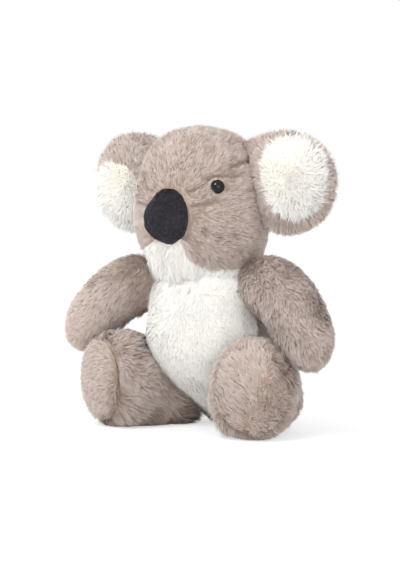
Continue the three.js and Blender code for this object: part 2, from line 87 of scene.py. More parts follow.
# The world's light, and each lamp's place and side in metres and its power in watts
WORLD_LIGHT = 0.93
LAMP_AIM = (0.0, 0.0, 0.12)
LAMPS = {
    "key_lamp": ((0.1, -1.5, 1.7), 0.7, 28.0),
    "fill_lamp": ((1.35, -1.25, 0.6), 1.2, 8.6),
    "side_lamp": ((-1.5, -0.9, 0.6), 1.2, 5.0),
}

# What the camera looks at, the way from there to it, its distance in metres, lens and sensor
CAMERA_AIM = (0.0, -0.0088, 0.123)
CAMERA_WAY = (0.5725, -0.8176, 0.061)
CAMERA_DISTANCE = 1.5
LENS = 111.5
SENSOR = 36.0


class Side(Enum):
    """The koala's own left and right."""

    LEFT = 1
    RIGHT = -1

    @property
    def index(self) -> int:
        """0 on the left and 1 on the right, for values that differ between the sides."""
        return int(self is Side.RIGHT)

    @property
    def flip(self) -> Array:
        """What turns the left side's places and ways into this side's."""
        return np.array([self.value, 1.0, 1.0])


def sided(name: str, side: Side | None) -> str:
    """A name with its side where it has one."""
    return name if side is None else f"{name}_{side.name.lower()}"


class Body(Enum):
    """The bodies that pieces ride on."""

    TORSO = "torso"
    HEAD = "head"
    EAR = "ear"
    ARM = "arm"
    LEG = "leg"

    def of(self, side: Side | None = None) -> str:
        """The body's name, with its side where it has one."""
        return sided(self.value, side)


def smooth_share(rows: Sequence[Sequence[float]], share: Array, column: int) -> Array:
    """Read a table of shares on a smooth curve.

    Args:
        rows: Rows of shares, the first column rising.
        share: Where to read, in the first column's terms.
        column: The column to read.

    Returns:
        The column's value at each share.
    """
    keys, values = np.transpose(rows)[[0, column]]
    share = np.asarray(share, float)
    last = len(keys) - 1
    low = np.clip(np.searchsorted(keys, share, side="left") - 1, 0, last - 1)
    before, after = np.maximum(low - 1, 0), np.minimum(low + 2, last)
    width = keys[low + 1] - keys[low]
    t = np.clip((share - keys[low]) / width, 0, 1)
    slope_a = (values[low + 1] - values[before]) / (keys[low + 1] - keys[before]) * width
    slope_b = (values[after] - values[low]) / (keys[after] - keys[low]) * width
    return (
        (2 * t**3 - 3 * t**2 + 1) * values[low]
        + (t**3 - 2 * t**2 + t) * slope_a
        + (3 * t**2 - 2 * t**3) * values[low + 1]
        + (t**3 - t**2) * slope_b
    )


def unit(vectors: Array) -> Array:
    """The same vectors at length 1."""
    return vectors / np.maximum(np.linalg.norm(vectors, axis=-1, keepdims=True), 1e-9)


def eased(values: Array, low: float, high: float) -> Array:
    """Rise smoothly from 0 at low to 1 at high."""
    t = np.clip((values - low) / (high - low), 0, 1)
    return t * t * (3 - 2 * t)


def bell(distance: Array, width: float, power: int = 2) -> Array:
    """Fall from 1 at no distance to 0 well beyond the width."""
    return np.exp(-((distance / width) ** power))


def heading(degrees: float) -> tuple[Array, Array]:
    """The level way ahead of what is turned from the front, and the way across it."""
    s, c = math.sin(math.radians(degrees)), math.cos(math.radians(degrees))
    return np.array([s, -c, 0]), np.array([c, s, 0])


def full_turn(sides: int) -> Array:
    """Even angles once round."""
    return np.linspace(0, 2 * math.pi, sides, endpoint=False)


def ring_grid(shares: Array, sides: int) -> Sequence[Array]:
    """Shares and even angles as the grids that a form's point method takes."""
    return np.broadcast_arrays(shares[:, None], full_turn(sides)[None])


class Waves:
    """A smooth random field made of a few crossed waves."""

    def __init__(self, seed: int, size: float, count: int = 14) -> None:
        """Draw the waves.

        Args:
            seed: Fixes the draw.
            size: About how wide one swell is, in millimetres.
            count: How many waves are crossed.
        """
        draw = np.random.default_rng(seed)
        ways = unit(draw.normal(size=(count, 3)))
        self.turns = ways * (math.pi / size) * draw.uniform(0.6, 1.5, (count, 1))
        self.starts = draw.uniform(0, 2 * math.pi, count)

    def at(self, points: Array) -> Array:
        """The field at the points, about from -1 to 1."""
        waves = np.sin(points @ self.turns.T + self.starts)
        return waves.sum(axis=1) * math.sqrt(0.5 / len(self.starts))


@dataclass
class Surface:
    """A skin of points with faces and outward normals."""

    points: Array
    quads: Array
    tris: Array
    normals: Array = field(init=False)

    def __post_init__(self) -> None:
        """Work out the outward normals, shared where points meet."""
        corners = self.triangles()
        a, b, c = (self.points[corners[:, k]] for k in range(3))
        faces = np.cross(b - a, c - a)
        places, same = np.unique(np.round(self.points, 3), axis=0, return_inverse=True)
        same = same.reshape(-1)
        total = np.zeros_like(places)
        for k in range(3):
            np.add.at(total, same[corners[:, k]], faces)
        self.normals = unit(total)[same]

    def triangles(self) -> Array:
        """All faces as triangles."""
        quads = self.quads
        return np.concatenate([quads[:, [0, 1, 2]], quads[:, [0, 2, 3]], self.tris])

    def moved(self, points: Array) -> "Surface":
        """The same faces on other points."""
        return Surface(points, self.quads, self.tris)

    def offset(self, distance: float | Array) -> "Surface":
        """The surface moved along its normals by a distance."""
        return self.moved(self.points + np.asarray(distance, float).reshape(-1, 1) * self.normals)

    def laid(self) -> "Surface":
        """The surface with its lowest part laid flat on what the koala sits on."""
        points = self.points.copy()
        points[:, 2] = np.maximum(points[:, 2], 2 * FLOOR_CLEARANCE)
        return self.moved(points)

    def mirrored(self, side: Side | None) -> "Surface":
        """The surface on the given side of the koala, made from the left one."""
        if side is not Side.RIGHT:
            return self
        return Surface(self.points * side.flip, self.quads[:, ::-1], self.tris[:, ::-1])


def grid_surface(
    rows: Array, closed: bool, start: Array | None = None, end: Array | None = None
) -> Surface:
    """Skin over rows of points.

    Args:
        rows: Points by row and column. Along a row they turn so that the outside is
            on the right of the way from one row to the next.
        closed: Whether each row closes on itself.
        start: A point that closes the first row.
        end: A point that closes the last row.

    Returns:
        The surface.
    """
    count, sides = rows.shape[:2]
    points = rows.reshape(-1, 3)
    steps = sides if closed else sides - 1
    r, c = np.meshgrid(np.arange(count - 1), np.arange(steps), indexing="ij")
    a, b = r * sides + c, r * sides + (c + 1) % sides
    quads = np.stack([a, b, b + sides, a + sides], -1).reshape(-1, 4)
    fans = [np.zeros((0, 3), int)]
    ring = np.arange(steps)
    following, top = (ring + 1) % sides, (count - 1) * sides
    for tip, one, other in ((start, following, ring), (end, top + ring, top + following)):
        if tip is not None:
            fans.append(np.stack([np.full(steps, len(points)), one, other], -1))
            points = np.vstack([points, tip])
    return Surface(points, quads, np.concatenate(fans))


def capped(
    rows: Array,
    first: Sequence[float] = (),
    last: Sequence[float] = (),
    middles: tuple[Array, Array] | None = None,
) -> Surface:
    """Skin over closed rings and close both ends at their middles.

    Args:
        rows: Points by ring and side.
        first: Sizes of flat rings inside the first one, from the smallest.
        last: Sizes of flat rings inside the last one, from the largest.
        middles: The ends' middles, where they aren't the middles of the end rings.

    Returns:
        The closed form.
    """
    low, high = middles or (rows[0].mean(axis=0), rows[-1].mean(axis=0))
    start = [low + (rows[:1] - low) * k for k in first]
    end = [high + (rows[-1:] - high) * k for k in last]
    return grid_surface(np.concatenate([*start, rows, *end]), True, low, high)


def sine_steps(count: int, cap: float) -> Array:
    """Steps from 0 to 1 that crowd towards a rounded end.

    Args:
        count: How many steps.
        cap: Share of the way that the rounding takes.

    Returns:
        The rising shares.
    """
    way = np.linspace(0, 1, count)
    if cap:
        near = way > 1 - cap
        way[near] = 1 - cap + cap * np.sin(np.pi / 2 * (way[near] - 1 + cap) / cap)
    return way


class RoundForm:
    """A form of level rings about an upright middle, that other pieces keep out of."""

    low: float
    high: float

    def ring_at(self, heights: Array) -> tuple[Array, Array, Array, Array]:
        """Half width, front half depth, back half depth and middle at each height."""
        raise NotImplementedError

    def reach(self, points: Array) -> tuple[Array, Array, Array]:
        """How the points lie to the form's rings.

        Args:
            points: Places in millimetres.

        Returns:
            Each point's offset from its ring's middle, its distance from there, and the
            ring's own radius that way.
        """
        wide, front, back, middle = self.ring_at(points[:, 2])
        across, along = points[:, 0], points[:, 1] - middle
        deep = np.where(along < 0, front, back)
        far = np.maximum(np.hypot(across, along), 1e-6)
        ratio = np.maximum(np.hypot(across / wide, along / deep), 1e-6)
        return np.stack([across, along], -1), far, far / ratio

    def depth(self, points: Array) -> Array:
        """How deep the points lie inside the form. It is below zero outside."""
        _, far, radius = self.reach(points)
        side = radius - far
        level = np.minimum(points[:, 2] - self.low, self.high - points[:, 2])
        return np.minimum(side, level)

    def kept_out(self, points: Array, gap: float) -> Array:
        """Push the points that lie inside the form out to its side.

        Args:
            points: Places in millimetres.
            gap: The clearance that they keep.

        Returns:
            The places outside the form.
        """
        offset, far, radius = self.reach(points)
        inside = (points[:, 2] > self.low) & (points[:, 2] < self.high) & (far < radius + gap)
        push = np.where(inside, (radius + gap) / far - 1, 0)
        out = points.copy()
        out[:, :2] += offset * push[:, None]
        return out


@dataclass(frozen=True)
class BodyForm(RoundForm):
    """The seated body: a pear that leans back on its seat."""

    height: float = 132.0
    half_width: float = 58.5
    half_depth: float = 54.0
    set_back: float = 48.0
    belly_half_angle: float = 62.0
    belly_middle_share: float = 0.6
    low: float = 0.0
    high: float = 132.0
    shares: tuple = (
        (0.0, 0.29, 0.2, 1.0), (0.083, 0.47, 0.385, 0.94), (0.136, 0.59, 0.53, 0.875),
        (0.205, 0.72, 0.68, 0.79), (0.28, 0.835, 0.81, 0.69), (0.394, 0.935, 0.93, 0.53),
        (0.508, 0.995, 0.995, 0.42), (0.606, 0.99, 0.99, 0.365), (0.72, 0.935, 0.935, 0.32),
        (0.85, 0.84, 0.84, 0.26), (0.94, 0.77, 0.77, 0.2), (1.0, 0.7, 0.7, 0.17),
    )

    def ring_at(self, heights: Array) -> tuple[Array, Array, Array, Array]:
        """Half width, front half depth, back half depth and middle at each height."""
        share = np.clip(heights / self.height, 0, 1)
        wide, deep, back = (smooth_share(self.shares, share, k) for k in (1, 2, 3))
        deep = self.half_depth * deep
        return self.half_width * wide, deep, deep, self.set_back * back

    def point(self, height: Array, angle: Array) -> Array:
        """The surface's points at heights and at angles from the front."""
        wide, deep, _, middle = self.ring_at(height)
        return np.stack([wide * np.sin(angle), middle - deep * np.cos(angle), height], -1)

    def seam_angle(self, height: Array) -> Array:
        """The angle from the front at which the belly's seam lies at each height."""
        wide, deep, _, middle = self.ring_at(height)
        _, _, _, fan = self.ring_at(np.array([self.belly_middle_share * self.height]))
        turn = math.radians(self.belly_half_angle)
        trial = np.linspace(0, math.pi / 2, 181)
        across = wide[:, None] * np.sin(trial)
        ahead = fan - (middle[:, None] - deep[:, None] * np.cos(trial))
        inside = (np.arctan2(across, ahead) < turn) & (ahead > 0)
        return np.where(inside, trial, 0).max(axis=1)


@dataclass(frozen=True)
class HeadForm(RoundForm):
    """The stuffed head, with a soft snout."""

    neck: float = 132.0
    height: float = 126.0
    half_width: float = 60.0
    front_half_depth: float = 48.0
    back_half_depth: float = 53.0
    set_back: float = 8.0
    snout_rise: float = 4.0
    snout_half_width: float = 24.0
    snout_half_height: float = 24.0
    nose_rise: float = 50.0
    muzzle_height: float = 36.0
    muzzle_half_width: float = 46.0
    low: float = 132.0
    high: float = 257.5
    shares: tuple = (
        (0.0, 0.69, 0.79, 1.0), (0.06, 0.79, 0.87, 0.75), (0.13, 0.87, 0.92, 0.5),
        (0.19, 0.93, 0.95, 0.3), (0.26, 0.98, 0.98, 0.15), (0.36, 1.0, 1.0, 0.0),
        (0.53, 0.985, 0.99, 0.0), (0.64, 0.94, 0.95, 0.0), (0.746, 0.87, 0.885, 0.0),
        (0.833, 0.775, 0.79, 0.0), (0.91, 0.62, 0.64, 0.0), (0.965, 0.41, 0.43, 0.0),
        (0.995, 0.14, 0.15, 0.0),
    )
    muzzle_shares: tuple = (
        (0.0, 1.0), (0.1, 0.86), (0.28, 0.62), (0.55, 0.47), (0.8, 0.38), (1.0, 0.0),
    )

    @property
    def top_share(self) -> float:
        """The highest share that the table covers."""
        return self.shares[-1][0]

    def ring_at(self, heights: Array) -> tuple[Array, Array, Array, Array]:
        """Half width, front half depth, back half depth and middle at each height."""
        share = np.clip((heights - self.neck) / self.height, 0, self.top_share)
        wide, deep, back = (smooth_share(self.shares, share, k) for k in (1, 2, 3))
        front_deep, back_deep = self.front_half_depth * deep, self.back_half_depth * deep
        return self.half_width * wide, front_deep, back_deep, self.set_back * back

    def snout(self, across: Array, height: Array) -> Array:
        """The forward swell of the snout at places on the face."""
        rise = (height - self.neck - self.nose_rise) / self.snout_half_height + 0.5
        return self.snout_rise * np.exp(-((across / self.snout_half_width) ** 2) - rise**2)

    def point(self, share: Array, angle: Array) -> Array:
        """The surface's points at shares of the height and at angles from the front."""
        height = self.neck + self.height * share
        wide, front, back, middle = self.ring_at(height)
        ahead = np.cos(angle)
        across = wide * np.sin(angle)
        deep = np.where(ahead > 0, front, back)
        swell = np.where(ahead > 0, self.snout(across, height), 0)
        return np.stack([across, middle - deep * ahead - swell, height], -1)

    def seam_angle(self, share: Array) -> Array:
        """The angle from the front at which the white muzzle ends at each share."""
        rise = self.height * share / self.muzzle_height
        half = self.muzzle_half_width * np.interp(rise, *np.transpose(self.muzzle_shares), right=0)
        wide, _, _, _ = self.ring_at(self.neck + self.height * share)
        return np.arcsin(np.clip(half / wide, 0, 1))


@dataclass(frozen=True)
class LimbForm:
    """A stuffed limb along a curved line, rounded at its closed ends."""

    line: Callable[[Array], Array]
    across: Place
    half_width: float
    half_height: float
    shares: tuple
    root_cap: float = 0.0
    tip_cap: float = 0.0
    way: Place | None = None

    ROOT_SHARES = np.linspace(0, 0.92, 140)
    LINE_SHARES = np.linspace(0, 1, 60)
    TIP_ROUNDING = 0.35
    BATCH = 20000

    def ahead(self, share: Array) -> Array:
        """The way along the limb at each share of its length."""
        if self.way is not None:
            return np.broadcast_to(np.array(self.way), (*np.shape(share), 3))
        step = 0.01
        return unit(self.line(np.minimum(share + step, 1)) - self.line(np.maximum(share - step, 0)))

    def frame_at(self, share: Array) -> tuple[Array, Array, Array]:
        """The ways along, across and over the limb at each share."""
        ahead = self.ahead(share)
        across = np.array(self.across)
        wide = unit(across - (ahead @ across)[..., None] * ahead)
        return ahead, wide, np.cross(ahead, wide)

    def point(self, share: Array, angle: Array) -> Array:
        """The surface's points at shares of the length and at angles about the line."""
        shape = share.shape
        share, angle = share.reshape(-1), angle.reshape(-1)
        _, wide, high = self.frame_at(share)
        closing = np.ones_like(share)
        if self.root_cap:
            closing *= np.sqrt(1 - np.clip(1 - share / self.root_cap, 0, 1) ** 2)
        if self.tip_cap:
            closing *= np.sqrt(1 - np.clip((share - 1) / self.tip_cap + 1, 0, 1) ** 2)
        half_w = self.half_width * smooth_share(self.shares, share, 1) * closing
        half_h = self.half_height * smooth_share(self.shares, share, 2) * closing
        out = (
            self.line(share)
            + (half_w * np.cos(angle))[:, None] * wide
            + (half_h * np.sin(angle))[:, None] * high
        )
        return out.reshape(*shape, 3)

    def share_of(self, points: Array) -> Array:
        """The share of the limb's line that lies nearest to each point."""
        line = self.line(self.LINE_SHARES)
        batches = np.array_split(points, len(points) // self.BATCH + 1)
        near = [np.linalg.norm(b[:, None] - line[None], axis=2).argmin(axis=1) for b in batches]
        return self.LINE_SHARES[np.concatenate(near)]

    def rows(self, trunk: Sequence[RoundForm], count: int, sides: int, sink: float) -> Array:
        """Rings from where the limb leaves its neighbours to its tip.

        Args:
            trunk: The larger forms that the limb is sewn to.
            count: How many rings.
            sides: How many points a ring has.
            sink: How deep in the neighbours the first ring lies.

        Returns:
            The points by ring and side.
        """
        grid = self.point(*ring_grid(self.ROOT_SHARES, sides))
        inside = np.zeros(grid.shape[:2], bool)
        for form in trunk:
            inside |= (form.depth(grid.reshape(-1, 3)) > sink).reshape(inside.shape)
        first = np.where(inside, self.ROOT_SHARES[:, None], 0).max(axis=0)
        first = (np.roll(first, 1) + 2 * first + np.roll(first, -1)) / 4
        steps = sine_steps(count, self.TIP_ROUNDING if self.tip_cap else 0.0)
        shares = first[None] + (1 - first[None]) * steps[:, None]
        return self.point(shares, np.broadcast_to(full_turn(sides), shares.shape))


def bent_line(start: Array, bend: Array, end: Array) -> Callable[[Array], Array]:
    """A line that leaves the start towards the bend and comes to the end from it."""

    def line(share: Array) -> Array:
        """The places at shares of the way."""
        t = np.asarray(share, float)[..., None]
        return (1 - t) ** 2 * start + 2 * (1 - t) * t * bend + t**2 * end

    return line


def oval_surface(centre: Array, half: Array, turn: float, sides: int, count: int) -> Surface:
    """A closed oval form.

    Args:
        centre: Its middle.
        half: Its half sizes.
        turn: Degrees that it is turned about the upright way.
        sides: Points in a ring.
        count: Rings.

    Returns:
        The surface.
    """
    rise = np.linspace(-math.pi / 2, math.pi / 2, count + 2)[1:-1, None]
    angle = full_turn(sides)[None]
    wide, deep, high = half
    across = wide * np.cos(rise) * np.sin(angle)
    along = -deep * np.cos(rise) * np.cos(angle)
    rows = np.stack([across, along, high * np.sin(rise) + 0 * angle], -1)
    low, high = np.array([0, 0, -high]), np.array([0, 0, high])
    c, s = math.cos(math.radians(turn)), math.sin(math.radians(turn))
    spin = np.array([[c, -s, 0], [s, c, 0], [0, 0, 1]])
    return grid_surface(rows @ spin.T + centre, True, low + centre, high + centre)


class Nodes:
    """A material's node tree, with short ways to add to it."""

    def __init__(self, name: str) -> None:
        """Start a material with only a shader."""
        self.material = bpy.data.materials.new(name)
        self.material.use_nodes = True
        self.tree = self.material.node_tree
        self.shader = self.tree.nodes["Principled BSDF"]

    def add(self, kind: str, **values: object) -> bpy.types.Node:
        """Add a node and set its values.

        Args:
            kind: The node's type.
            **values: Socket values by name, with _ for a space, or node properties.

        Returns:
            The node.
        """
        node = self.tree.nodes.new(kind)
        for key, value in values.items():
            socket = node.inputs.get(key.replace("_", " "))
            if hasattr(node, key):
                setattr(node, key, value)
            elif socket is not None:
                socket.default_value = value
        return node

    def link(self, source: Socket, target: Socket) -> None:
        """Join two sockets."""
        self.tree.links.new(source, target)

    def texture(self, kind: str, **values: object) -> bpy.types.Node:
        """Add a texture that lies by the object's own places, with its values set."""
        node = self.add(kind, **values)
        self.link(self.add("ShaderNodeTexCoord").outputs["Object"], node.inputs["Vector"])
        return node

    def ramp(self, factor: Socket, stops: Sequence[tuple[float, Colour]]) -> Socket:
        """Add a colour ramp with the given stops and give its colour's socket."""
        node = self.add("ShaderNodeValToRGB")
        self.link(factor, node.inputs["Fac"])
        elements = node.color_ramp.elements
        while len(elements) < len(stops):
            elements.new(0.5)
        for element, (place, colour) in zip(elements, stops):
            element.position = place
            element.color = (*colour, 1)
        return node.outputs["Color"]

    def paint(self, colour: Socket) -> None:
        """Give the surface a colour."""
        self.link(colour, self.shader.inputs["Base Color"])

    def mix(self, kind: str, factor: float, a: Socket, b: Socket) -> Socket:
        """Mix two colours and give the result's socket."""
        node = self.add("ShaderNodeMix", data_type="RGBA", blend_type=kind)
        node.inputs["Factor"].default_value = factor
        self.link(a, node.inputs["A"])
        self.link(b, node.inputs["B"])
        return node.outputs["Result"]

    def bump(self, height: Socket, strength: float, distance: float) -> None:
        """Raise the surface by a height."""
        node = self.add("ShaderNodeBump", Strength=strength, Distance=distance * MM)
        self.link(height, node.inputs["Height"])
        self.link(node.outputs["Normal"], self.shader.inputs["Normal"])

    def set(self, **values: object) -> None:
        """Set the shader's own values, with _ for a space."""
        for key, value in values.items():
            self.shader.inputs[key.replace("_", " ")].default_value = value


def linear(red: float, green: float, blue: float) -> Colour:
    """A colour of light amounts from one as a screen shows it, each part from 0 to 255."""

    def part(value: float) -> float:
        """One part of the colour."""
        v = value / 255
        return v / 12.92 if v <= 0.04045 else ((v + 0.055) / 1.055) ** 2.4

    return part(red), part(green), part(blue)


def shaded(colour: Colour, by: float) -> Colour:
    """The colour made darker or lighter by a factor."""
    return tuple(min(c * by, 1.0) for c in colour)


@dataclass(frozen=True)
class PileFinish:
    """The fibre of a pile: darker and warmer at its root, paler at its tip. Part of this is the
    fibre's own colour and part is painted shade in the pile's depths.
    """

    name: str
    root: Colour
    middle: Colour
    tip: Colour
    dark_tone_and_shade: Colour
    pale_tone_and_light: Colour
    roughness: float = 0.85
    sheen: float = 0.25

    def material(self) -> bpy.types.Material:
        """Make the material. A strand's place along runs up the map, its tint across it."""
        nodes = Nodes(self.name)
        place = nodes.add("ShaderNodeUVMap", uv_map=PELT_MAP)
        parts = nodes.add("ShaderNodeSeparateXYZ")
        nodes.link(place.outputs["UV"], parts.inputs["Vector"])
        fibre = ((0.0, self.root), (0.45, self.middle), (1.0, self.tip))
        # The tint's dark end is partly random tone and partly painted warm shade, and its pale end
        # partly painted light
        tints = ((0.0, self.dark_tone_and_shade), (0.5, (1, 1, 1)), (1.0, self.pale_tone_and_light))
        along = nodes.ramp(parts.outputs["Y"], fibre)
        tint = nodes.ramp(parts.outputs["X"], tints)
        nodes.paint(nodes.mix("MULTIPLY", 1.0, along, tint))
        nodes.set(
            Roughness=self.roughness,
            Specular_IOR_Level=0.25,
            Sheen_Weight=self.sheen,
            Sheen_Roughness=0.5,
            Sheen_Tint=(1, 1, 1, 1),
        )
        return nodes.material


@dataclass(frozen=True)
class KnitFinish:
    """The knitted backing that the pile stands on."""

    name: str
    colour: Colour
    loop_size: float = 0.9

    def material(self) -> bpy.types.Material:
        """Make the material."""
        nodes = Nodes(self.name)
        loops = nodes.texture("ShaderNodeTexVoronoi", Scale=1 / (self.loop_size * MM))
        cloud = nodes.texture("ShaderNodeTexNoise", Scale=90.0, Detail=4.0)
        stops = ((0.3, shaded(self.colour, 0.82)), (0.7, shaded(self.colour, 1.12)))
        nodes.paint(nodes.ramp(cloud.outputs["Fac"], stops))
        nodes.bump(loops.outputs["Distance"], 0.5, 0.3)
        nodes.set(Roughness=0.95, Sheen_Weight=0.15)
        return nodes.material


@dataclass(frozen=True)
class FibreFinish:
    """Loose polyester fibre."""

    name: str
    colour: Colour

    def material(self) -> bpy.types.Material:
        """Make the material."""
        nodes = Nodes(self.name)
        wisps = nodes.texture("ShaderNodeTexNoise", Scale=420.0, Detail=8.0, Distortion=1.5)
        stops = ((0.3, shaded(self.colour, 0.85)), (0.75, self.colour))
        nodes.paint(nodes.ramp(wisps.outputs["Fac"], stops))
        nodes.bump(wisps.outputs["Fac"], 0.7, 0.8)
        nodes.set(Roughness=0.95, Sheen_Weight=0.2)
        return nodes.material


@dataclass(frozen=True)
class WeaveFinish:
    """A plain woven cloth."""

    name: str
    colour: Colour
    threads: float = 1.1

    def material(self) -> bpy.types.Material:
        """Make the material."""
        nodes = Nodes(self.name)
        scale = 1 / (2 * math.pi * self.threads * MM)
        bands = {"wave_type": "BANDS", "Scale": scale, "Distortion": 0.4}
        warp, weft = (
            nodes.texture("ShaderNodeTexWave", bands_direction=way, **bands) for way in ("X", "Z")
        )
        weave = nodes.mix("MULTIPLY", 0.6, warp.outputs["Color"], weft.outputs["Color"])
        nodes.paint(nodes.ramp(weave, ((0.0, shaded(self.colour, 0.8)), (0.8, self.colour))))
        nodes.bump(weave, 0.5, 0.25)
        nodes.set(Roughness=0.85)
        return nodes.material


@dataclass(frozen=True)
class PlasticFinish:
    """Moulded plastic, polished or plain."""

    name: str
    colour: Colour
    roughness: float
    grain: float = 0.05
    specular: float = 0.5

    def material(self) -> bpy.types.Material:
        """Make the material."""
        nodes = Nodes(self.name)
        cloud = nodes.texture("ShaderNodeTexNoise", Scale=600.0, Detail=3.0)
        stops = ((0.35, shaded(self.colour, 0.85)), (0.65, shaded(self.colour, 1.15)))
        nodes.paint(nodes.ramp(cloud.outputs["Fac"], stops))
        nodes.bump(cloud.outputs["Fac"], self.grain, 0.05)
        nodes.set(Roughness=self.roughness, Specular_IOR_Level=self.specular)
        return nodes.material


@dataclass(frozen=True)
class Pile:
    """How a pile grows.

    Lengths are in millimetres, density in strands to the square centimetre and angles in
    degrees from upright.
    """

    length: float = 8.0
    length_spread: float = 0.2
    width: float = 0.45
    density: float = 220.0
    lean: float = 48.0
    droop: float = 22.0
    wander: float = 16.0
    clump_size: float = 3.2
    clump: float = 0.35
    curl: float = 20.0
    twist: float = 0.5
    tint_spread: float = 0.14
    tint_clump: float = 0.12
    mottle: float = 0.08
    softness: float = 0.8
    lean_spread: float = 10.0
    swirl_size: float = 16.0
    mottle_size: float = 11.0
    root_depth: float = 0.4

    # How far single strands stray from the pile's length and width and are pulled to a clump
    LENGTHS = (0.4, 1.6)
    WIDTHS = (0.75, 1.25)
    PULLS = (0.5, 1.1)
    MIDDLE_PULL = 0.35


@dataclass
class Pelt:
    """The strands of one pile."""

    points: Array
    normals: Array
    tints: Array

    CORNERS = np.array([[0, 1, 2], [1, 3, 2]])
    HEIGHTS = np.array([0.0, 0.5, 0.5, 1.0])

    def mirrored(self, side: Side | None) -> "Pelt":
        """The pelt on the given side, made from the left one."""
        if side is not Side.RIGHT:
            return self
        swap = [0, 2, 1, 3]
        return Pelt(self.points[:, swap] * side.flip, self.normals[:, swap] * side.flip, self.tints)


def grow_pelt(
    skin: Surface,
    pile: Pile,
    comb: Comb,
    seed: int,
    keep: Amount | None = None,
    length_at: Amount | None = None,
    tint_at: Amount | None = None,
    mess_at: Amount | None = None,
    avoid: Sequence[RoundForm] = (),
    gap: float = 0.4,
) -> Pelt:
    """Grow strands on a skin.

    Args:
        skin: The cloth that they are rooted in.
        pile: How they grow.
        comb: The way that they are combed, by place.
        seed: Fixes the draw.
        keep: Tells for each root whether a strand grows there.
        length_at: A factor on the length by place.
        tint_at: A change of tint by place. On most pieces it is painted light and shade.
        mess_at: A factor by place on how much the strands stray from the comb's way.
        avoid: Forms that the strands are pushed out of.
        gap: Clearance from those forms.

    Returns:
        The strands.
    """
    draw = np.random.default_rng(SEED * 1000 + seed)
    corners = skin.triangles()
    a, b, c = (skin.points[corners[:, k]] for k in range(3))
    area = np.linalg.norm(np.cross(b - a, c - a), axis=1) / 2
    total = area.sum()
    count = int(total * pile.density / 100)
    face = np.searchsorted(np.cumsum(area) / total, draw.uniform(size=count))
    face = np.minimum(face, len(corners) - 1)
    u, v = draw.uniform(size=(2, count))
    over = u + v > 1
    u[over], v[over] = 1 - u[over], 1 - v[over]
    shares = np.stack([1 - u - v, u, v], -1)
    root = np.einsum("nk,nkd->nd", shares, skin.points[corners[face]])
    normal = unit(np.einsum("nk,nkd->nd", shares, skin.normals[corners[face]]))
    if keep is not None:
        kept = keep(root)
        root, normal = root[kept], normal[kept]
    count = len(root)

    way = comb(root)
    way = unit(way - (way * normal).sum(1, keepdims=True) * normal)
    side = np.cross(normal, way)
    swirl = pile.curl * Waves(seed + 7, pile.swirl_size).at(root)
    swirl = swirl + pile.wander * draw.normal(size=count)
    if mess_at is not None:
        swirl = swirl * mess_at(root)
    turn = np.radians(swirl)[:, None]
    way = way * np.cos(turn) + side * np.sin(turn)

    spread = 1 + pile.length_spread * draw.normal(size=count)
    length = pile.length * np.clip(spread, *pile.LENGTHS)
    if length_at is not None:
        length = length * length_at(root)
    lean = np.radians(pile.lean + pile.lean_spread * draw.normal(size=count))
    bend = lean + np.radians(pile.droop)
    length, lean, bend = length[:, None], lean[:, None], bend[:, None]
    first = np.cos(lean) * normal + np.sin(lean) * way
    second = np.cos(bend) * normal + np.sin(bend) * way
    middle = root + 0.5 * length * first
    tip = middle + 0.5 * length * second

    per_clump = max(pile.density / 100 * pile.clump_size**2, 1)
    leaders = draw.choice(count, max(int(count / per_clump), 1), replace=False)
    tree = kdtree.KDTree(len(leaders))
    for index, leader in enumerate(leaders):
        tree.insert(root[leader], index)
    tree.balance()
    nearest = np.array([tree.find(place)[1] for place in root])
    leader = leaders[nearest]
    pull = (pile.clump * draw.uniform(*pile.PULLS, count))[:, None]
    tip += pull * (tip[leader] - tip)
    middle += pile.MIDDLE_PULL * pull * (middle[leader] - middle)
    for form in avoid:
        middle, tip = form.kept_out(middle, gap), form.kept_out(tip, gap)
    for places in (middle, tip):
        places[:, 2] = np.maximum(places[:, 2], FLOOR_CLEARANCE)

    along = unit(tip - root)
    side = unit(np.cross(normal, along) + pile.twist * draw.normal(size=(count, 3)))
    side *= -np.sign((np.cross(side, along) * normal).sum(1, keepdims=True) + 1e-9)
    half = 0.5 * pile.width * draw.uniform(*pile.WIDTHS, (count, 1))
    foot = root - pile.root_depth * normal
    points = np.stack([foot, middle - half * side, middle + half * side, tip], axis=1)
    face_normal = unit(np.cross(along, side))
    shading = unit(pile.softness * normal + (1 - pile.softness) * face_normal)
    normals = np.repeat(shading[:, None], 4, axis=1)

    clump_tint = draw.normal(size=len(leaders))[nearest]
    tints = 0.5 + pile.tint_spread * draw.normal(size=count) + pile.tint_clump * clump_tint
    tints += pile.mottle * Waves(seed + 3, pile.mottle_size).at(root)
    # The tint by place adds painted light and shade on most pieces
    if tint_at is not None:
        tints = tints + tint_at(root)
    return Pelt(points, normals, np.clip(tints, 0.01, 0.99))


@dataclass(frozen=True)
class Finish:
    """A material, the name of a slot, and its cloth's thickness, if open."""

    material: bpy.types.Material
    slot: str
    thickness: float = 0.0


def grow_pelts(
    plots: Sequence[tuple[Surface, int, Amount | None]], pile: Pile, comb: Comb, **how: object
) -> Pelt:
    """Grow one pile on several skins.

    Args:
        plots: Each skin, with the seed of its draw and what keeps its roots.
        pile: How the strands grow.
        comb: The way that they are combed.
        **how: What else grow_pelt takes.

    Returns:
        All the strands.
    """
    parts = [grow_pelt(skin, pile, comb, seed, keep=keep, **how) for skin, seed, keep in plots]
    return Pelt(
        np.concatenate([part.points for part in parts]),
        np.concatenate([part.normals for part in parts]),
        np.concatenate([part.tints for part in parts]),
    )


@dataclass(frozen=True)
class Finishes:
    """The finishes that the pieces share."""

    taupe: Finish
    taupe_knit: Finish
    white: Finish
    white_knit: Finish
    cream: Finish
    velour: Finish
    velour_knit: Finish
    fibre: Finish
    bag: Finish
    eye: Finish
    nylon: Finish


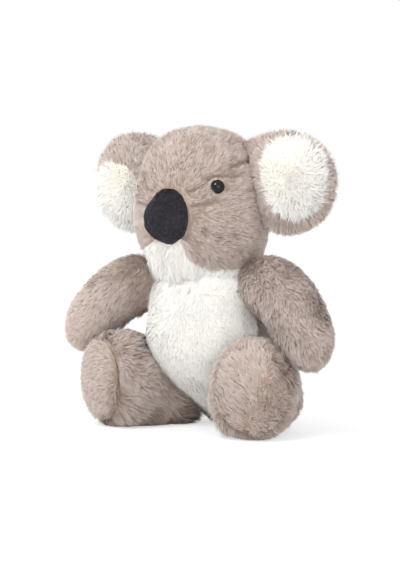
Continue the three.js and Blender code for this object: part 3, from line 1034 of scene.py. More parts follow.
def make_finishes() -> Finishes:
    """Make the finishes that the pieces share."""
    # The roots' darker, warmer colours and the tints' dark ends are partly the fibre's own and
    # partly painted warm shade
    taupe = PileFinish(
        "taupe_pile",
        root=linear(157, 133, 117),
        middle=linear(186, 169, 158),
        tip=linear(203, 192, 187),
        dark_tone_and_shade=(0.66, 0.6, 0.56),
        pale_tone_and_light=(1.16, 1.15, 1.15),
    )
    white = PileFinish(
        "white_pile",
        root=linear(246, 240, 228),
        middle=linear(249, 247, 242),
        tip=linear(252, 251, 249),
        dark_tone_and_shade=(0.93, 0.92, 0.89),
        pale_tone_and_light=(1.03, 1.03, 1.03),
    )
    cream = PileFinish(
        "ear_lining_pile",
        root=linear(236, 230, 217),
        middle=linear(241, 238, 232),
        tip=linear(246, 245, 242),
        dark_tone_and_shade=(0.97, 0.93, 0.85),
        pale_tone_and_light=(1.03, 1.03, 1.03),
    )
    velour = PileFinish(
        "nose_velour",
        root=linear(33, 31, 35),
        middle=linear(50, 47, 53),
        tip=linear(67, 63, 70),
        dark_tone_and_shade=(0.7, 0.7, 0.72),
        pale_tone_and_light=(1.5, 1.48, 1.5),
        sheen=0.1,
    )
    eye = PlasticFinish("eye_gloss", linear(14, 14, 17), 0.08, grain=0.0, specular=0.3)
    taupe_knit = KnitFinish("taupe_backing", linear(176, 154, 140))
    white_knit = KnitFinish("white_backing", linear(240, 238, 233))
    velour_knit = KnitFinish("nose_backing", linear(34, 33, 37))
    fibre = FibreFinish("stuffing_fibre", linear(246, 246, 243))
    bag = WeaveFinish("bag_weave", linear(226, 221, 208))
    nylon = PlasticFinish("washer_nylon", linear(222, 219, 211), 0.45)
    return Finishes(
        taupe=Finish(taupe.material(), "taupe_plush"),
        taupe_knit=Finish(taupe_knit.material(), "taupe_plush", CLOTH_THICKNESS),
        white=Finish(white.material(), "white_plush"),
        white_knit=Finish(white_knit.material(), "white_plush", CLOTH_THICKNESS),
        cream=Finish(cream.material(), "white_plush"),
        velour=Finish(velour.material(), "nose_velour"),
        velour_knit=Finish(velour_knit.material(), "nose_velour"),
        fibre=Finish(fibre.material(), "stuffing"),
        bag=Finish(bag.material(), "bag_cloth"),
        eye=Finish(eye.material(), "eye_plastic"),
        nylon=Finish(nylon.material(), "washer_plastic"),
    )


class Workshop:
    """Turns surfaces and pelts into Blender pieces in the shared frame."""

    def __init__(self, finish: Finishes) -> None:
        """Take the finishes, and find the upright line through the head's middle."""
        self.finish = finish
        neck = next(j for j in frame["joints"] if j["name"] == "head_turn")
        x, y, _ = neck["pos_m"]
        self.middle = np.array([x, y, 0]) - np.array([0, HeadForm.set_back * MM, 0])
        self.made: list[str] = []

    def placed(self, points: Array) -> Array:
        """Places in metres in the shared frame, from millimetres about the head's middle."""
        return points * MM + self.middle

    def point(self, place: Array) -> tuple[float, float, float]:
        """One such place as plain numbers."""
        return tuple(float(v) for v in self.placed(np.asarray(place, float)))

    def _mesh(self, name: str, points: Array, faces: Sequence[Array]) -> Piece:
        """Make a mesh object from arrays of points and of faces with a fixed count of corners."""
        mesh = bpy.data.meshes.new(name)
        mesh.vertices.add(len(points))
        mesh.vertices.foreach_set("co", self.placed(points).astype(np.float32).reshape(-1))
        faces = [part for part in faces if len(part)]
        corners = np.concatenate([part.reshape(-1) for part in faces]).astype(np.int32)
        counts = np.concatenate([np.full(len(part), part.shape[1]) for part in faces])
        starts = np.concatenate([[0], np.cumsum(counts)[:-1]]).astype(np.int32)
        mesh.loops.add(len(corners))
        mesh.loops.foreach_set("vertex_index", corners)
        mesh.polygons.add(len(counts))
        mesh.polygons.foreach_set("loop_start", starts)
        mesh.update(calc_edges=True)
        mesh.polygons.foreach_set("use_smooth", np.ones(len(counts), bool))
        piece = bpy.data.objects.new(name, mesh)
        bpy.context.scene.collection.objects.link(piece)
        return piece

    def cloth(
        self,
        name: str,
        node: str,
        skin: Surface,
        finish: Finish,
        fill: float | None = None,
        side: Side | None = None,
    ) -> Piece:
        """Make a piece from a surface, in place of a CAD node.

        Args:
            name: The piece's name, without its side.
            node: The node that it stands for, also without its side.
            skin: Its outside, on the left where it has a side.
            finish: Its finish. Where this has a thickness, the skin gets it inwards.
            fill: How tightly it is stuffed, where it is a padded piece. It is not used.
            side: The side that it is made for, if it is one of two.

        Returns:
            The piece.
        """
        skin = skin.mirrored(side)
        points, quads, tris = skin.points, skin.quads, skin.tris
        if finish.thickness:
            edges = np.concatenate(
                [quads[:, [k, (k + 1) % 4]] for k in range(4)]
                + [tris[:, [k, (k + 1) % 3]] for k in range(3)]
            )
            order = np.sort(edges, axis=1)
            _, first, times = np.unique(order, axis=0, return_index=True, return_counts=True)
            rim = edges[first[times == 1]]
            count = len(points)
            points = np.vstack([points, points - finish.thickness * skin.normals])
            walls = np.stack([rim[:, 1], rim[:, 0], rim[:, 0] + count, rim[:, 1] + count], -1)
            quads = np.concatenate([quads, quads[:, ::-1] + count, walls])
            tris = np.concatenate([tris, tris[:, ::-1] + count])
        piece = self._mesh(sided(name, side), points, [quads, tris])
        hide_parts(sided(node, side))
        return self._finished(piece, finish)

    def pelt(self, name: str, pelt: Pelt, finish: Finish, side: Side | None = None) -> Piece:
        """Make a piece from a pelt.

        Args:
            name: The piece's name, without its side.
            pelt: Its strands, on the left where it has a side.
            finish: The fibre's finish.
            side: The side that it is made for, if it is one of two.

        Returns:
            The piece.
        """
        pelt = pelt.mirrored(side)
        count = len(pelt.points)
        first = (np.arange(count) * 4)[:, None, None]
        faces = (Pelt.CORNERS[None] + first).reshape(-1, 3)
        piece = self._mesh(sided(name, side), pelt.points.reshape(-1, 3), [faces])
        mesh = piece.data
        across = np.repeat(pelt.tints, 6)
        along = np.tile(Pelt.HEIGHTS[Pelt.CORNERS].reshape(-1), count)
        layer = mesh.uv_layers.new(name=PELT_MAP)
        layer.data.foreach_set("uv", np.stack([across, along], -1).astype(np.float32).reshape(-1))
        mesh.normals_split_custom_set_from_vertices(pelt.normals.reshape(-1, 3).astype(np.float32))
        return self._finished(piece, finish)

    def _finished(self, piece: Piece, finish: Finish) -> Piece:
        """Give a piece its material, report it and hand it back."""
        piece.data.materials.append(finish.material)
        log.info("%s: %d faces", piece.name, len(piece.data.polygons))
        self.made.append(piece.name)
        return piece


def panel_pair(
    point: Callable[[Array, Array], Array],
    shares: Array,
    seams: Array,
    front_columns: int,
    back_columns: int,
) -> tuple[Surface, Surface]:
    """Cut a ringed form into a front panel and the rest.

    Args:
        point: Gives the form's points from shares and angles.
        shares: The ring shares from the lowest up.
        seams: The angle of the seam at each ring.
        front_columns: Columns across the front panel.
        back_columns: Columns around the rest.

    Returns:
        The front panel and the rest.
    """
    used = seams > 1e-4
    front_turn = np.linspace(-1, 1, front_columns)[None] * seams[used][:, None]
    front = point(np.broadcast_to(shares[used][:, None], front_turn.shape), front_turn)
    sweep = np.linspace(0, 1, back_columns)[None]
    back_turn = seams[:, None] + (2 * math.pi - 2 * seams[:, None]) * sweep
    back = point(np.broadcast_to(shares[:, None], back_turn.shape), back_turn)
    return grid_surface(front, False), grid_surface(back, False)


@dataclass
class Torso:
    """The body: taupe back, white belly, stuffing and the seat's pellet bag."""

    form: BodyForm = BodyForm()
    head: HeadForm = HeadForm()
    rings: int = 52
    belly_columns: int = 60
    back_columns: int = 110
    skin_sink: float = 3.2
    belly_sink: float = 2.6
    filling_sink: float = 4.6
    filling_sides: int = 64
    filling_gap: float = 0.4
    filling_lumps: float = 0.012
    filling_top: float = 131.5
    bag_top: float = 24.0
    cheek_lift: float = 2.2
    nap_spread: float = 0.15
    neck_swell: float = 0.7
    chin_clip: float = 1.2
    cheek_across: tuple = (8.0, 26.0)
    cheek_heights: tuple = (114.0, 124.0)
    swell_heights: tuple = (98.0, 116.0)
    clip_heights: tuple = (121.0, 130.0)
    back_pile: Pile = Pile(density=170.0, width=0.5, curl=25.0)
    belly_pile: Pile = Pile(
        length=4.8, width=0.34, density=400.0, lean=50.0, droop=18.0, clump=0.2, clump_size=2.4,
        curl=35.0, wander=26.0, tint_spread=0.16, mottle=0.0, softness=0.88,
    )
    white_turn: tuple = (
        (0.0, 68.0), (20.0, 62.0), (45.0, 62.0), (80.0, 76.0), (110.0, 88.0), (132.0, 90.0),
    )

    def build(self, shop: Workshop) -> None:
        """Make the torso's pieces.

        Args:
            shop: Makes the pieces.
        """
        back, belly = self._skins()
        plots, avoid = ((belly, 12, None), (back, 13, self._white)), [self.head]
        taupe_pelt = grow_pelt(back, self.back_pile, self._comb, 11, self._taupe, avoid=avoid)
        how = {"length_at": self._white_length, "avoid": avoid}
        white_pelt = grow_pelts(plots, self.belly_pile, self._comb, **how)
        filling = self._stuffed(self.bag_top + self.filling_gap, self.filling_top, 30)
        bag = self._stuffed(0.0, self.bag_top, 14, floor=self.filling_sink)
        pieces = [
            shop.cloth("body_back_cloth", "body_back_skin", back, shop.finish.taupe_knit),
            shop.cloth("belly_cloth", "belly_panel", belly, shop.finish.white_knit),
            shop.pelt("body_back_pile", taupe_pelt, shop.finish.taupe),
            shop.pelt("belly_pile", white_pelt, shop.finish.white),
            shop.cloth("body_filling", "body_stuffing", filling, shop.finish.fibre, fill=0.9),
            shop.cloth("seat_pellet_bag", "pellet_bag", bag, shop.finish.bag, fill=0.8),
        ]
        for piece in pieces:
            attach(piece, Body.TORSO.of())

    def _skins(self) -> tuple[Surface, Surface]:
        """The taupe back with its floor, and the white belly."""
        form, columns = self.form, self.back_columns
        heights = form.height * np.sin(np.linspace(0, math.pi / 2, self.rings)) ** 1.3
        seams = form.seam_angle(heights)
        belly, back = panel_pair(form.point, heights, seams, self.belly_columns, columns)
        bottom = form.point(np.zeros(columns), np.linspace(0, 2 * math.pi, columns))
        floor = [bottom * [k, k, 0] + (1 - k) * bottom.mean(0) for k in (0.05, 0.5)]
        rows = np.concatenate([np.stack(floor), back.points.reshape(-1, columns, 3)])
        back = grid_surface(rows, False)
        return back.offset(-self.skin_sink).laid(), belly.offset(-self.belly_sink).laid()

    def _under_cheek(self, points: Array) -> Array:
        """From 0 elsewhere to 1 at the top of the belly's left side."""
        return eased(points[:, 0], *self.cheek_across) * eased(points[:, 2], *self.cheek_heights)

    def _comb(self, points: Array) -> Array:
        """The nap runs down the body, and up under the left cheek."""
        way = np.zeros_like(points)
        way[:, 2] = -1 + self.cheek_lift * self._under_cheek(points)
        way[:, 0] = self.nap_spread * np.sign(points[:, 0])
        return way

    def _white(self, points: Array) -> Array:
        """Roots in the white front."""
        _, _, _, middle = self.form.ring_at(points[:, 2])
        turn = np.degrees(np.arctan2(np.abs(points[:, 0]), middle - points[:, 1]))
        return turn < np.interp(points[:, 2], *np.transpose(self.white_turn))

    def _taupe(self, points: Array) -> Array:
        """Roots outside the white front."""
        return ~self._white(points)

    def _white_length(self, points: Array) -> Array:
        """The white swells towards the neck and is short under the chin's hair."""
        height = points[:, 2]
        clipped = self.chin_clip * eased(height, *self.clip_heights)
        clipped = clipped * (1 - self._under_cheek(points))
        return 1 + self.neck_swell * eased(height, *self.swell_heights) - clipped

    def _stuffed(self, low: float, high: float, rings: int, floor: float = 0.0) -> Surface:
        """Make a lumpy closed form inside the skins.

        Args:
            low: The height at which it starts.
            high: The height at which it ends.
            rings: How many rings it has.
            floor: The lowest height that it may have.

        Returns:
            The closed form.
        """
        grid = ring_grid(np.linspace(low, high, rings), self.filling_sides)
        shell = grid_surface(self.form.point(*grid), True)
        rows = shell.offset(-self.filling_sink).points.reshape(rings, -1, 3)
        heights = shell.points[:, 2]
        rows[..., 2] = np.clip(rows[..., 2], max(heights.min(), floor), heights.max())
        lumps = Waves(5, 14.0).at(rows.reshape(-1, 3)).reshape(rows.shape[:2])
        centre = rows.mean(axis=1, keepdims=True)
        rows = centre + (rows - centre) * (1 - self.filling_lumps * (1 + lumps))[..., None]
        return capped(rows, INNER_RINGS, INNER_RINGS[::-1], (centre[0, 0], centre[-1, 0]))


def seen_share(tree: bpy.types.NodeTree) -> Socket:
    """Add a socket that is 1 for what is seen by the camera, in gloss or through glass."""
    path = tree.nodes.new("ShaderNodeLightPath")
    share = path.outputs["Is Camera Ray"]
    for ray in ("Is Glossy Ray", "Is Transmission Ray"):
        larger = tree.nodes.new("ShaderNodeMath")
        larger.operation = "MAXIMUM"
        tree.links.new(share, larger.inputs[0])
        tree.links.new(path.outputs[ray], larger.inputs[1])
        share = larger.outputs[0]
    return share


def build_stage() -> None:
    """Lay the wide white floor that the koala sits on. Away from its shadow the floor glows."""
    nodes = Nodes("studio_white")
    nodes.set(Base_Color=(0.93, 0.93, 0.93, 1), Roughness=0.9, Specular_IOR_Level=0.1)
    glow = nodes.add("ShaderNodeEmission", Color=(1, 1, 1, 1), Strength=FLOOR_GLOW)
    mixed = nodes.add("ShaderNodeMixShader")
    share = nodes.add("ShaderNodeMath", operation="MULTIPLY")
    far = nodes.add("ShaderNodeVectorMath", operation="LENGTH")
    fade = nodes.add("ShaderNodeMapRange")
    for key, value in zip(("From Min", "From Max", "To Min", "To Max"), FLOOR_FADE):
        fade.inputs[key].default_value = value
    for source, target in (
        (nodes.add("ShaderNodeTexCoord").outputs["Object"], far.inputs[0]),
        (far.outputs["Value"], fade.inputs["Value"]),
        (seen_share(nodes.tree), share.inputs[0]),
        (fade.outputs["Result"], share.inputs[1]),
        (share.outputs[0], mixed.inputs["Fac"]),
        (nodes.shader.outputs["BSDF"], mixed.inputs[1]),
        (glow.outputs["Emission"], mixed.inputs[2]),
        (mixed.outputs["Shader"], nodes.tree.nodes["Material Output"].inputs["Surface"]),
    ):
        nodes.link(source, target)
    mesh = bpy.data.meshes.new("studio_floor")
    signs = ((-1, -1), (1, -1), (1, 1), (-1, 1))
    corners = [(x * FLOOR_REACH, y * FLOOR_REACH, 0) for x, y in signs]
    mesh.from_pydata(corners, [], [(0, 1, 2, 3)])
    mesh.materials.append(nodes.material)
    floor = bpy.data.objects.new("studio_floor", mesh)
    bpy.context.scene.collection.objects.link(floor)


def add_lamp(name: str, place: Place, size: float, power: float) -> None:
    """Add a soft square lamp that points at the koala.

    Args:
        name: Its name.
        place: Where it hangs, in metres.
        size: Its side.
        power: Its power in watts.
    """
    light = bpy.data.lights.new(name, "AREA")
    light.energy = power
    light.size = size
    lamp = bpy.data.objects.new(name, light)
    lamp.location = place
    lamp.rotation_euler = (Vector(LAMP_AIM) - Vector(place)).to_track_quat("-Z", "Y").to_euler()
    bpy.context.scene.collection.objects.link(lamp)


def build_studio() -> None:
    """Set the lamps, the pale world and the colour view."""
    scene = bpy.context.scene
    scene.view_settings.view_transform = "Standard"
    scene.world = bpy.data.worlds.new("studio")
    scene.world.use_nodes = True
    tree = scene.world.node_tree
    light, seen = tree.nodes["Background"], tree.nodes.new("ShaderNodeBackground")
    for background, strength in ((light, WORLD_LIGHT), (seen, 1.0)):
        background.inputs["Color"].default_value = (1, 1, 1, 1)
        background.inputs["Strength"].default_value = strength
    mixed = tree.nodes.new("ShaderNodeMixShader")
    tree.links.new(seen_share(tree), mixed.inputs["Fac"])
    tree.links.new(light.outputs["Background"], mixed.inputs[1])
    tree.links.new(seen.outputs["Background"], mixed.inputs[2])
    tree.links.new(mixed.outputs["Shader"], tree.nodes["World Output"].inputs["Surface"])
    for name, (place, size, power) in LAMPS.items():
        add_lamp(name, place, size, power)


def build_camera() -> None:
    """Set the camera at the photograph's angle."""
    away = Vector(CAMERA_WAY) * CAMERA_DISTANCE
    data = bpy.data.cameras.new("photo_camera")
    data.sensor_width = SENSOR
    data.lens = LENS
    camera = bpy.data.objects.new("photo_camera", data)
    camera.location = Vector(CAMERA_AIM) + away
    camera.rotation_euler = (-away).to_track_quat("-Z", "Y").to_euler()
    bpy.context.scene.collection.objects.link(camera)
    bpy.context.scene.camera = camera


@dataclass(frozen=True)
class Crease:
    """A pulled-in line on the face, as places across and over it, on both sides alike."""

    path: tuple[tuple[float, float], ...]
    depth: float
    width: float

    FRONT = 12.0

    def nearness(self, points: Array) -> Array:
        """From 0 far away to 1 on the line, for places on the front of the head."""
        flat = np.stack([np.abs(points[:, 0]), points[:, 2]], -1)
        best = np.full(len(points), 1e9)
        for a, b in zip(self.path, self.path[1:]):
            a, b = np.array(a), np.array(b)
            t = np.clip((flat - a) @ (b - a) / ((b - a) @ (b - a)), 0, 1)
            best = np.minimum(best, np.linalg.norm(flat - a - t[:, None] * (b - a), axis=1))
        return bell(best, self.width) * (points[:, 1] < self.FRONT)


@dataclass
class Head:
    """The head: taupe skin, white muzzle, velour nose, safety eyes and stuffing."""

    form: HeadForm = HeadForm()
    body: BodyForm = BodyForm()
    rings: int = 60
    muzzle_columns: int = 48
    skin_columns: int = 120
    skin_sink: float = 3.4
    muzzle_sink: float = 2.8
    filling_sink: float = 4.8
    filling_sides: int = 110
    nose_half_width: float = 21.5
    nose_height: float = 46.0
    nose_bulge: float = 8.0
    nose_sink: float = 5.0
    nose_shares: tuple = (
        (0.0, 0.1), (0.03, 0.26), (0.06, 0.4), (0.1, 0.56), (0.15, 0.72), (0.21, 0.84),
        (0.3, 0.95), (0.41, 1.01), (0.52, 1.01), (0.62, 0.97), (0.72, 0.87), (0.81, 0.74),
        (0.89, 0.58), (0.95, 0.4), (0.985, 0.24), (1.0, 0.12),
    )
    eye_radius: float = 6.0
    eye_dome: float = 4.5
    eye_sink: float = 0.8
    eye_inset: float = 3.0
    eye_right_inset: float = 0.8
    eye_rise: float = 75.0
    eye_angle: float = 45.0
    stem_radius: float = 1.8
    stem_length: float = 13.0
    creases: tuple[Crease, ...] = (
        Crease(((42.0, 221.0), (46.2, 223.7), (50.7, 227.7), (54.0, 229.5)), 2.6, 2.4),
        Crease(((32.5, 211.5), (36.5, 213.8), (41.0, 214.6), (47.0, 213.6)), 3.2, 2.4),
        Crease(((16.5, 201.3), (23.4, 203.6), (30.2, 209.9), (33.9, 213.4)), 2.2, 2.2),
        Crease(((21.0, 191.0), (30.3, 191.8), (37.0, 192.0)), 1.8, 1.8),
        Crease(((39.0, 245.0), (43.5, 240.0), (48.3, 233.0)), 2.6, 2.6),
    )
    pile: Pile = Pile(
        length=6.4, width=0.38, density=265.0, lean=50.0, droop=20.0, clump_size=2.8,
        tint_clump=0.2, mottle=0.12,
    )
    muzzle_pile: Pile = Pile(
        length=5.2, length_spread=0.3, width=0.34, density=380.0, lean=46.0, droop=22.0,
        clump=0.25, clump_size=2.8, curl=18.0, mottle=0.0, softness=0.88,
    )
    velour_pile: Pile = Pile(
        length=1.3, width=0.3, density=900.0, lean=35.0, droop=20.0, clump=0.5, clump_size=1.7,
        curl=30.0, wander=40.0, tint_spread=0.22, tint_clump=0.34, mottle=0.12,
    )
    white_edge_left: tuple = (
        (0.0, 170.0), (11.6, 161.0), (13.7, 150.0), (20.0, 144.0), (27.0, 140.3), (60.0, 141.0),
    )
    white_edge_right: tuple = (
        (0.0, 172.0), (14.0, 164.0), (24.0, 160.0), (40.0, 156.0), (60.0, 148.0),
    )
    white_back: float = 8.0
    chin_across: tuple = (4.0, 24.0)
    chin_heights: tuple = (137.0, 152.0)
    crown_across: tuple = (24.0, 44.0)
    crown_heights: tuple = (238.0, 250.0)
    inner_brow: tuple = (-33.0, 207.0)
    inner_brow_size: tuple = (7.0, 9.0)
    back_depths: tuple = (0.0, 40.0)
    back_fall: float = 0.75
    muzzle_fall: float = 1.2
    eye_seat: tuple = (0.7, 7.5)
    eye_openings: tuple = (0.8, 0.7)
    eye_parting: float = 8.0
    eye_clip: tuple = (0.5, 9.0)
    # Painted shade around each eye: how much darker, and its width
    eye_shade: tuple = (-0.3, 8.0)
    nose_clip: tuple = (0.4, 30.0)
    nose_margin: float = 0.5
    brow_growth: float = 0.9
    crown_growth: float = 0.7
    chin_growth: tuple = (1.1, 0.7)
    crease_clip: float = 0.5
    # Painted shade in the depths of the creases
    crease_shade: float = 0.6

    def build(self, shop: Workshop) -> None:
        """Make the head's pieces.

        Args:
            shop: Makes the pieces.
        """
        pieces = self._skins(shop) + self._nose(shop)
        pieces.append(self._filling(shop))
        pieces += [self._eye(shop, side) for side in Side]
        for piece in pieces:
            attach(piece, Body.HEAD.of())

    def eye_place(self) -> tuple[Array, Array]:
        """The left eye's middle on the head's surface and the way out of it."""
        share = np.array([self.eye_rise / self.form.height])
        angle = np.array([math.radians(self.eye_angle)])
        step = 0.01
        across = self.form.point(share, angle + step) - self.form.point(share, angle - step)
        up = self.form.point(share + step, angle) - self.form.point(share - step, angle)
        return self.form.point(share, angle)[0], unit(np.cross(across, up))[0]

    def _flips(self, points: Array) -> Array:
        """What turns each place, or a way from it, into the left side's."""
        return np.where(points[:, :1] < 0, Side.RIGHT.flip, 1.0)

    def near_eye(self, points: Array) -> Array:
        """Distance of places from the nearer eye's middle."""
        eye, _ = self.eye_place()
        return np.linalg.norm(points * self._flips(points) - eye, axis=1)

    def nose_middle(self) -> Array:
        """The middle of the nose on the face."""
        share = np.array([self.form.nose_rise / self.form.height])
        return self.form.point(share, np.zeros(1))[0]

    def _comb(self, points: Array) -> Array:
        """The nap runs out from the nose over the face, and down the back of the head."""
        way = unit(points - self.nose_middle())
        back = eased(points[:, 1], *self.back_depths)[:, None]
        way = way * (1 - self.back_fall * back) + np.array([0, 0, -1.0]) * back
        eye, _ = self.eye_place()
        flip = self._flips(points)
        off = unit(points * flip - eye) * flip
        near = bell(self.near_eye(points), self.eye_parting)[:, None]
        return way * (1 - near) + off * near

    def _muzzle_comb(self, points: Array) -> Array:
        """The white nap runs down and out from under the nose."""
        way = unit(points - self.nose_middle())
        way[:, 2] -= self.muzzle_fall
        return way

    def _skins(self, shop: Workshop) -> list[Piece]:
        """Make the head's skin and muzzle with their piles."""
        form = self.form
        shares = form.top_share * np.sin(np.linspace(0, math.pi / 2, self.rings)) ** 1.05
        seams = form.seam_angle(shares)
        muzzle, skin = panel_pair(form.point, shares, seams, self.muzzle_columns, self.skin_columns)
        rows = skin.points.reshape(-1, self.skin_columns, 3)
        crown = np.array([0, 0, form.neck + form.height])
        top = [crown + (rows[-1] - crown) * k for k in (0.5, 0.04)]
        skin = self._dented(grid_surface(np.concatenate([rows, np.stack(top)]), False))
        muzzle = muzzle.offset(-self.muzzle_sink)
        plots = (skin, 21, self._taupe_roots), (muzzle, 22, self._taupe_roots)
        how = {"length_at": self._length, "tint_at": self._painted_shading, "avoid": [self.body]}
        taupe_pelt = grow_pelts(plots, self.pile, self._comb, **how)
        plots = (skin, 25, self._white_roots), (muzzle, 26, self._white_roots)
        how = {"length_at": self._chin_length}
        white_pelt = grow_pelts(plots, self.muzzle_pile, self._muzzle_comb, **how)
        return [
            shop.cloth("head_cloth", "head_skin", skin, shop.finish.taupe_knit),
            shop.cloth("muzzle_cloth", "muzzle_panel", muzzle, shop.finish.white_knit),
            shop.pelt("head_pile", taupe_pelt, shop.finish.taupe),
            shop.pelt("muzzle_pile", white_pelt, shop.finish.white),
        ]

    def _dented(self, skin: Surface) -> Surface:
        """Sink the skin, raise it behind the eyes and pull its creases in."""
        depth = np.full(len(skin.points), self.skin_sink)
        share, width = self.eye_seat
        depth -= share * self.skin_sink * bell(self.near_eye(skin.points), width, 4)
        for crease in self.creases:
            depth += crease.depth * crease.nearness(skin.points)
        return skin.offset(-depth)

    def _white(self, points: Array) -> Array:
        """Places in the white under the cheeks, whose edges lie a little differently."""
        across = points[:, 0]
        left, right = np.transpose(self.white_edge_left), np.transpose(self.white_edge_right)
        edge = np.where(across > 0, np.interp(across, *left), np.interp(-across, *right))
        return (points[:, 2] < edge) & (points[:, 1] < self.white_back)

    def _bare(self, points: Array) -> Array:
        """Roots that no eye or nose covers."""
        open_round = self.eye_radius * np.where(points[:, 0] > 0, *self.eye_openings)
        covered = self._under_nose(points, self.nose_margin)
        return (self.near_eye(points) > open_round) & ~covered

    def _taupe_roots(self, points: Array) -> Array:
        """Taupe roots that no eye or nose covers."""
        return self._bare(points) & ~self._white(points)

    def _white_roots(self, points: Array) -> Array:
        """White roots that the nose doesn't cover."""
        return self._bare(points) & self._white(points)

    def _length(self, points: Array) -> Array:
        """The pile is clipped short around the eyes, beside the nose and in the creases."""
        across, height = points[:, 0], points[:, 2]
        share, width = self.eye_clip
        out = 1 - share * bell(self.near_eye(points), width)
        (middle, level), (wide, high) = self.inner_brow, self.inner_brow_size
        brow = np.exp(-(((across - middle) / wide) ** 2) - ((height - level) / high) ** 2)
        out += self.brow_growth * brow * (points[:, 1] < 0)
        nose = np.linalg.norm((points - self.nose_middle()) * [1, 0.6, 0.9], axis=1)
        share, width = self.nose_clip
        out = out * (1 - share * bell(nose, width, 4))
        on_top = self.crown_growth * eased(height, *self.crown_heights)
        out += on_top * eased(np.abs(across), *self.crown_across)
        for crease in self.creases:
            out = out * (1 - self.crease_clip * crease.nearness(points))
        return out

    def _chin_length(self, points: Array) -> Array:
        """The white hangs longer over the neck's seam."""
        growth, waver = self.chin_growth
        ragged = growth + waver * Waves(15, 7.0).at(points)
        right = 1 - eased(points[:, 0], *self.chin_across)
        low, high = self.chin_heights
        return 1 + ragged * right * eased(-points[:, 2], -high, -low)

    def _painted_shading(self, points: Array) -> Array:
        """Painted shade: the strands are darker around the eyes and in the depths of the creases.
        """
        shade, width = self.eye_shade
        out = shade * bell(self.near_eye(points), width)
        for crease in self.creases:
            out = out - self.crease_shade * crease.nearness(points)
        return out

    def _nose_half(self, heights: Array) -> Array:
        """The nose's half width at each height, below zero outside it."""
        share = (heights - self.form.neck - self.form.nose_rise) / self.nose_height + 0.5
        half = self.nose_half_width * smooth_share(self.nose_shares, np.clip(share, 0, 1), 1)
        return np.where((share > 0) & (share < 1), half, -1.0)

    def _under_nose(self, points: Array, margin: float) -> Array:
        """Whether places on the face lie under the nose pad, less a margin."""
        half = self._nose_half(points[:, 2])
        return (np.abs(points[:, 0]) < half - margin) & (points[:, 1] < 0)

    def _nose(self, shop: Workshop) -> list[Piece]:
        """Make the padded nose and its velour."""
        form = self.form
        share = np.clip(0.5 - 0.5 * np.cos(np.linspace(0, math.pi, 40)), 0.002, 0.998)
        heights = form.neck + form.nose_rise + self.nose_height * (share - 0.5)
        half = self._nose_half(heights)
        face = form.point((heights - form.neck) / form.height, np.zeros(len(share)))
        seat = (face[:, 1] + self.nose_sink)[:, None]
        deep = (self.nose_bulge + self.nose_sink) * np.sqrt(half / self.nose_half_width)
        angle = full_turn(56)[None]
        ahead = np.cos(angle)
        fullness = np.sign(ahead) * np.abs(ahead) ** 0.8
        across = half[:, None] * np.sin(angle)
        along = np.minimum(seat - deep[:, None] * fullness, seat - 1)
        pad = capped(np.stack([across, along, heights[:, None] + 0 * angle], -1))
        pad = pad.offset(-0.8 + 0.55 * Waves(9, 6.0).at(pad.points))

        def down(points: Array) -> Array:
            """The velour lies down the nose."""
            return np.tile([0.0, 0.0, -1.0], (len(points), 1))

        def shown(points: Array) -> Array:
            """The front of the pad."""
            return points[:, 1] < self.nose_middle()[1] + self.nose_sink + 2

        pelt = grow_pelt(pad, self.velour_pile, down, 23, keep=shown)
        return [
            shop.cloth("nose_pad_cloth", "nose_pad", pad, shop.finish.velour_knit, fill=0.9),
            shop.pelt("nose_velour", pelt, shop.finish.velour),
        ]

    def _filling(self, shop: Workshop) -> Piece:
        """Make the head's stuffing."""
        form = self.form
        shares = form.top_share * np.sin(np.linspace(0, math.pi / 2, 56))
        shell = grid_surface(form.point(*ring_grid(shares, self.filling_sides)), True)
        points = shell.offset(-self.filling_sink).points
        lower = 0.5 * (1 + Waves(6, 14.0).at(points))
        for crease in self.creases:
            lower += 2.0 * crease.depth * crease.nearness(points) ** 0.4
        points -= lower[:, None] * shell.normals
        points[:, 2] = np.maximum(points[:, 2], form.neck + 0.8)
        filling = capped(points.reshape(-1, self.filling_sides, 3), INNER_RINGS)
        return shop.cloth("head_filling", "head_stuffing", filling, shop.finish.fibre, fill=0.95)

    def _eye(self, shop: Workshop, side: Side) -> Piece:
        """Make one safety eye: a polished dome on its stem, held by the nylon washer."""
        place, way = self.eye_place()
        place = place - (self.eye_inset + side.index * self.eye_right_inset) * way
        edge = np.linspace(0, math.pi / 2, 12)[:-1]
        profile = [
            (0.02, -self.stem_length),
            (self.stem_radius, -self.stem_length),
            (self.stem_radius, -self.eye_sink),
            (self.eye_radius - 0.3, -self.eye_sink),
            (self.eye_radius - 0.05, -0.55 * self.eye_sink),
            *((self.eye_radius * math.cos(t), self.eye_dome * math.sin(t)) for t in edge),
            (0.02, self.eye_dome),
        ]
        across = unit(np.cross(way, [0.0, 0.0, 1.0]))
        over = np.cross(way, across)
        turns = full_turn(40)[:, None]
        spokes = np.cos(turns) * across + np.sin(turns) * over
        dome = capped(np.stack([place + rise * way + radius * spokes for radius, rise in profile]))
        washer = frame["nodes"][sided("eye_washer", side)]
        washer.data.materials.clear()
        washer.data.materials.append(shop.finish.nylon.material)
        return shop.cloth("eye_dome", "eye", dome, shop.finish.eye, side=side)


